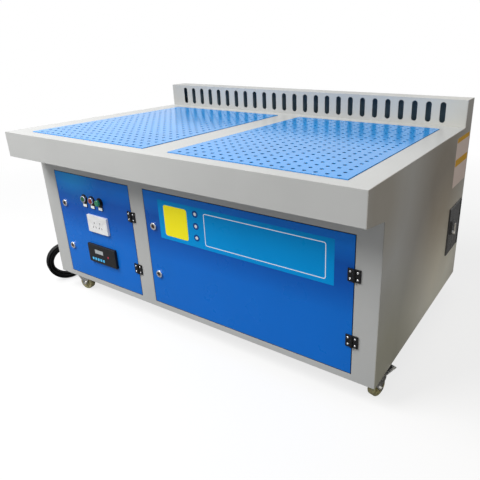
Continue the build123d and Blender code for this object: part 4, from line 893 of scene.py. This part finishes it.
def make_pedal_pads(materials):
    """Ribbed rubber pad on each brake pedal's tread."""
    for side, pivot in PAD_PIVOTS.items():
        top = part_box(f"{side}_brake_pedal")[1].z
        turn = Matrix.Rotation(math.radians(CASTER_TURNS[side]), 4, "Z")
        place = Matrix.Translation((*pivot, top)) @ turn
        build = bmesh.new()
        middle = (PAD_LENGTH[0] + PAD_LENGTH[1]) / 2
        length = PAD_LENGTH[1] - PAD_LENGTH[0]
        add_plate(build, rounded_rectangle(PAD_WIDTH, length, PAD_CORNER),
                  place @ Matrix.Translation((0, middle, 0)), PAD_SHEET)
        for rib in range(PAD_RIBS):
            along = middle + length * RIB_SHARE * (rib / (PAD_RIBS - 1) - 0.5)
            outline = rounded_rectangle(PAD_WIDTH * RIB_SHARE, RIB_WIDTH, RIB_CORNER, 3)
            add_plate(build, outline, place @ Matrix.Translation((0, along, PAD_SHEET)),
                      PAD_SHEET / 2)
        piece_from(f"{side}_pedal_pad", build, materials["pad"], f"{side}_brake_pedal")


# Screws


SCREW_RINGS = 5
SCREW_SIDES = 20
SCREW_RIM = 0.25
SCREW_CROWN = 0.45
CROSS_ARM = 0.42
CROSS_SLOT = 0.13
CROSS_TAPER = 0.8
CROSS_FLOOR = 0.35


def screw_profile(radius, height):
    """Radius and height of a pan head's rings, from its seat to its crown."""
    profile = [(radius, 0.0), (radius, height * SCREW_RIM)]
    for ring in range(1, SCREW_RINGS):
        angle = ring / (SCREW_RINGS - 1) * math.pi / 2
        profile.append((radius * (SCREW_CROWN + (1 - SCREW_CROWN) * math.cos(angle)),
                        height * (SCREW_RIM + (1 - SCREW_RIM) * math.sin(angle))))
    return profile


def cross_outline(arm, slim):
    """Flat points of a cross."""
    return [(slim, slim), (slim, arm), (-slim, arm), (-slim, slim), (-arm, slim), (-arm, -slim),
            (-slim, -slim), (-slim, -arm), (slim, -arm), (slim, -slim), (arm, -slim), (arm, slim)]


def loop_edges(build, loop):
    """Edges of a closed loop."""
    return [build.edges.get((point, loop[(index + 1) % len(loop)]))
            for index, point in enumerate(loop)]


def add_screw(build, place, radius, height):
    """Add a pan-head screw with a cross recess, its axis along the place's local Z."""
    loops = []
    for reach, level in screw_profile(radius, height):
        turns = [2 * math.pi * side / SCREW_SIDES for side in range(SCREW_SIDES)]
        loops.append([build.verts.new(place @ Vector((reach * math.cos(turn),
                                                      reach * math.sin(turn), level)))
                      for turn in turns])
    for low, high in zip(loops, loops[1:]):
        add_band(build, low, high)
    cross = cross_outline(radius * CROSS_ARM, radius * CROSS_SLOT)
    rim = [build.verts.new(place @ Vector((x, y, height))) for x, y in cross]
    floor = [build.verts.new(place @ Vector((x * CROSS_TAPER, y * CROSS_TAPER,
                                             height * CROSS_FLOOR))) for x, y in cross]
    add_band(build, rim, floor)
    build.faces.new(floor)
    edges = loop_edges(build, loops[-1]) + loop_edges(build, rim)
    bmesh.ops.triangle_fill(build, edges=edges, use_beauty=True)


HINGE_SCREW_RADIUS = 0.0034
HINGE_SCREW_HEIGHT = 0.0016
HINGE_SCREW_INSET = 0.0085
HINGE_HEIGHT = 0.039
HINGE_HALF = 0.020
HINGE_LEAF = 0.004
HINGE_CENTRES = (0.433, 0.220)


def make_hinge_screws(materials):
    """Four screws on each door hinge: two through the frame's leaf and two through the door's."""
    doors = (("left_door", node_range("left_door_panel", 0)[1]),
             ("right_door", node_range("right_door_panel", 0)[1]))
    frame_screws = bmesh.new()
    for body, edge in doors:
        axis = edge + DOOR_GAP / 2
        door_screws = bmesh.new()
        for centre in HINGE_CENTRES:
            for level in (-1, 1):
                z = centre + level * (HINGE_HEIGHT / 2 - HINGE_SCREW_INSET)
                reach = HINGE_HALF - HINGE_SCREW_INSET
                add_screw(frame_screws, on_front(axis + reach, z, HINGE_LEAF),
                          HINGE_SCREW_RADIUS, HINGE_SCREW_HEIGHT)
                add_screw(door_screws, on_front(axis - reach, z, HINGE_LEAF),
                          HINGE_SCREW_RADIUS, HINGE_SCREW_HEIGHT)
        piece_from(f"{body}_hinge_screws", door_screws, materials["chrome"], body)
    piece_from("frame_hinge_screws", frame_screws, materials["chrome"], "cabinet")


# Label on the right side

LABEL_Y = (0.2975, 0.4825)
LABEL_Z = (0.510, 0.695)
LABEL_BANDS = ((0.91, 1.0), (0.43, 0.57))
LABEL_CORNER = 0.003
BAND_CORNER = 0.001
BAND_WIDTH_SHARE = 0.94


def make_side_label(materials):
    """Pale label film with two ochre bands near the back of the right side."""
    y, z, width, height = centre_and_size(LABEL_Y, LABEL_Z)
    build = bmesh.new()
    add_plate(build, rounded_rectangle(width, height, LABEL_CORNER), on_right(y, z), FILM)
    piece_from("side_label", build, materials["label"], "cabinet")
    bands = bmesh.new()
    for low, high in LABEL_BANDS:
        level = LABEL_Z[0] + height * (low + high) / 2
        outline = rounded_rectangle(width * BAND_WIDTH_SHARE, height * (high - low),
                                    BAND_CORNER)
        add_plate(bands, outline, on_right(y, level, FILM), FILM)
    piece_from("side_label_bands", bands, materials["ochre"], "cabinet")


# Dark sheet behind the backsplash's slots: painted shade

SHADE_SHEET_GAP = 0.030
SHADE_SHEET_MARGIN = 0.002
SHADE_SHEET_THICKNESS = 0.002
SHADE_SHEET_CORNER = 0.001


def make_shade_sheet(materials):
    """Dark sheet a little behind the backsplash's slots: painted shade inside the backsplash."""
    low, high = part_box("backsplash")
    build = bmesh.new()
    y = low.y + SHADE_SHEET_GAP
    turn = Matrix(((1, 0, 0), (0, 0, -1), (0, 1, 0))).to_4x4()
    width = high.x - low.x - 2 * SHADE_SHEET_MARGIN
    height = high.z - low.z - 2 * SHADE_SHEET_MARGIN
    place = Matrix.Translation((0, y, (low.z + high.z) / 2)) @ turn
    outline = rounded_rectangle(width, height, SHADE_SHEET_CORNER, 2)
    add_plate(build, outline, place, SHADE_SHEET_THICKNESS)
    piece_from("backsplash_shade_sheet", build, materials["shade_sheet"], "cabinet")


# Ties that hold the coil

TIE_WIDTH = 0.016
TIE_SHEET = 0.0014
TIE_CLEARANCE = 0.0002
TIE_ANGLES = (20, 335)


def make_coil_ties(materials):
    """Two straps round the coil's bundle."""
    across = Vector((math.sin(COIL_TURN), math.cos(COIL_TURN), 0))
    axis = Vector((math.cos(COIL_TURN), -math.sin(COIL_TURN), 0))
    upward = Vector((0, 0, 1))
    inner = COIL_RADIUS - COIL_TURNS_PER_LAYER * COIL_PITCH
    middle = (COIL_RADIUS + inner) / 2
    half_width = (COIL_RADIUS - inner + CORD_DIAMETER) / 2
    half_depth = ((COIL_LAYERS - 1) * COIL_PITCH + CORD_DIAMETER) / 2
    build = bmesh.new()
    for degrees in TIE_ANGLES:
        angle = math.radians(degrees)
        outward = across * math.cos(angle) + upward * math.sin(angle)
        along = upward * math.cos(angle) - across * math.sin(angle)
        centre = Vector(COIL_PLACE) + outward * middle
        turn = Matrix((outward, axis, outward.cross(axis))).transposed().to_4x4()
        place = Matrix.Translation(centre - outward.cross(axis) * TIE_WIDTH / 2) @ turn
        within, around = [
            rounded_rectangle(2 * (half_width + grow), 2 * (half_depth + grow),
                              CORD_DIAMETER / 2 + grow)
            for grow in (TIE_CLEARANCE, TIE_SHEET)]
        add_frame(build, around, within, place, TIE_WIDTH)
    piece_from("coil_ties", build, materials["black"], "cabinet")


# Stage and light

FLOOR_SIZE = 40.0
FLOOR_NEAR = 1.5
FLOOR_FAR = 3.2
FLOOR_SEEN = 0.26
FLOOR_GLOW = 0.76
FLOOR_BOUNCE = 0.32
KEY_PLACE = (-1.3, -1.9, 3.2)
KEY_SIZE = 2.2
KEY_POWER = 128.0
FILL_PLACE = (4.0, 0.6, 1.2)
FILL_SIZE = 2.0
FILL_POWER = 14.5
FILL_COLOUR = (1.0, 0.93, 0.80)
WORLD_LIGHT = 0.27


def camera_switch(tree, seen, lit, mirrored=False):
    """Value that is one thing for the camera and through glass, and another for light."""
    path = tree.nodes.new("ShaderNodeLightPath")
    rays = ["Is Camera Ray", "Is Transmission Ray"] + (["Is Glossy Ray"] if mirrored else [])
    share = path.outputs[rays[0]]
    for ray in rays[1:]:
        either = tree.nodes.new("ShaderNodeMath")
        either.operation = "MAXIMUM"
        tree.links.new(share, either.inputs[0])
        tree.links.new(path.outputs[ray], either.inputs[1])
        share = either.outputs[0]
    mix = tree.nodes.new("ShaderNodeMix")
    tree.links.new(share, mix.inputs[0])
    for value, socket in ((lit, mix.inputs[2]), (seen, mix.inputs[3])):
        if isinstance(value, float):
            socket.default_value = value
        else:
            tree.links.new(value, socket)
    return mix.outputs[0]


def make_world():
    """White background for the camera and in reflections, and a plain soft light on the object."""
    world = bpy.data.worlds.new("studio")
    bpy.context.scene.world = world
    world.use_nodes = True
    background = world.node_tree.nodes["Background"]
    background.inputs["Color"].default_value = (1.0, 1.0, 1.0, 1.0)
    strength = camera_switch(world.node_tree, 1.0, WORLD_LIGHT, mirrored=True)
    world.node_tree.links.new(strength, background.inputs["Strength"])


def make_floor():
    """Plain pale floor that fades into the white background away from the table."""
    build = bmesh.new()
    half = FLOOR_SIZE / 2
    corners = [(-half, -half, 0), (half, -half, 0), (half, half, 0), (-half, half, 0)]
    build.faces.new([build.verts.new(corner) for corner in corners])
    mesh = bpy.data.meshes.new("floor")
    build.to_mesh(mesh)
    build.free()
    floor = bpy.data.objects.new("floor", mesh)
    bpy.context.scene.collection.objects.link(floor)
    made = Shader("floor_paint")
    tree = made.tree
    distance = made.node("ShaderNodeVectorMath", operation="LENGTH")
    made.link(made.place, distance.inputs[0])
    away = distance.outputs["Value"]
    glow = camera_switch(tree, made.ramp(away, FLOOR_NEAR, FLOOR_FAR, FLOOR_GLOW, 1.0), 0.0)
    made.link(glow, made.surface.inputs["Emission Strength"])
    seen = made.ramp(away, FLOOR_NEAR, FLOOR_FAR, FLOOR_SEEN, 0.0)
    bright = camera_switch(tree, seen, FLOOR_BOUNCE)
    grey = made.node("ShaderNodeCombineColor")
    for socket in ("Red", "Green", "Blue"):
        made.link(bright, grey.inputs[socket])
    made.colour(grey.outputs["Color"])
    made.set(Roughness=0.9, Specular_IOR_Level=0.0, Emission_Color=(1.0, 1.0, 1.0, 1.0))
    mesh.materials.append(made.material)


def make_lamp(name, place, target, size, power, colour=(1.0, 1.0, 1.0)):
    """Soft square light that faces a target."""
    lamp = bpy.data.lights.new(name, "AREA")
    lamp.shape = "SQUARE"
    lamp.size = size
    lamp.energy = power
    lamp.color = colour
    made = bpy.data.objects.new(name, lamp)
    bpy.context.scene.collection.objects.link(made)
    turn = (Vector(target) - Vector(place)).to_track_quat("-Z", "Y").to_matrix().to_4x4()
    made.matrix_world = Matrix.Translation(place) @ turn


def make_lights():
    """Large soft key high in front on the left, and a weak warm fill."""
    middle = (0, 0, 0.5)
    make_lamp("key_light", KEY_PLACE, middle, KEY_SIZE, KEY_POWER)
    make_lamp("fill_light", FILL_PLACE, middle, FILL_SIZE, FILL_POWER, FILL_COLOUR)


make_camera()
MATERIALS = make_paints() | make_metals() | make_mouldings() | make_films()
make_cord(MATERIALS)
paint_nodes(MATERIALS)
paint_details(MATERIALS)
make_banner(MATERIALS)
make_legends(MATERIALS)
make_gap_shade_strips(MATERIALS)
make_pedal_pads(MATERIALS)
make_hinge_screws(MATERIALS)
make_side_label(MATERIALS)
make_shade_sheet(MATERIALS)
make_coil_ties(MATERIALS)
make_world()
make_floor()
make_lights()
bpy.context.scene.view_settings.view_transform = "Standard"
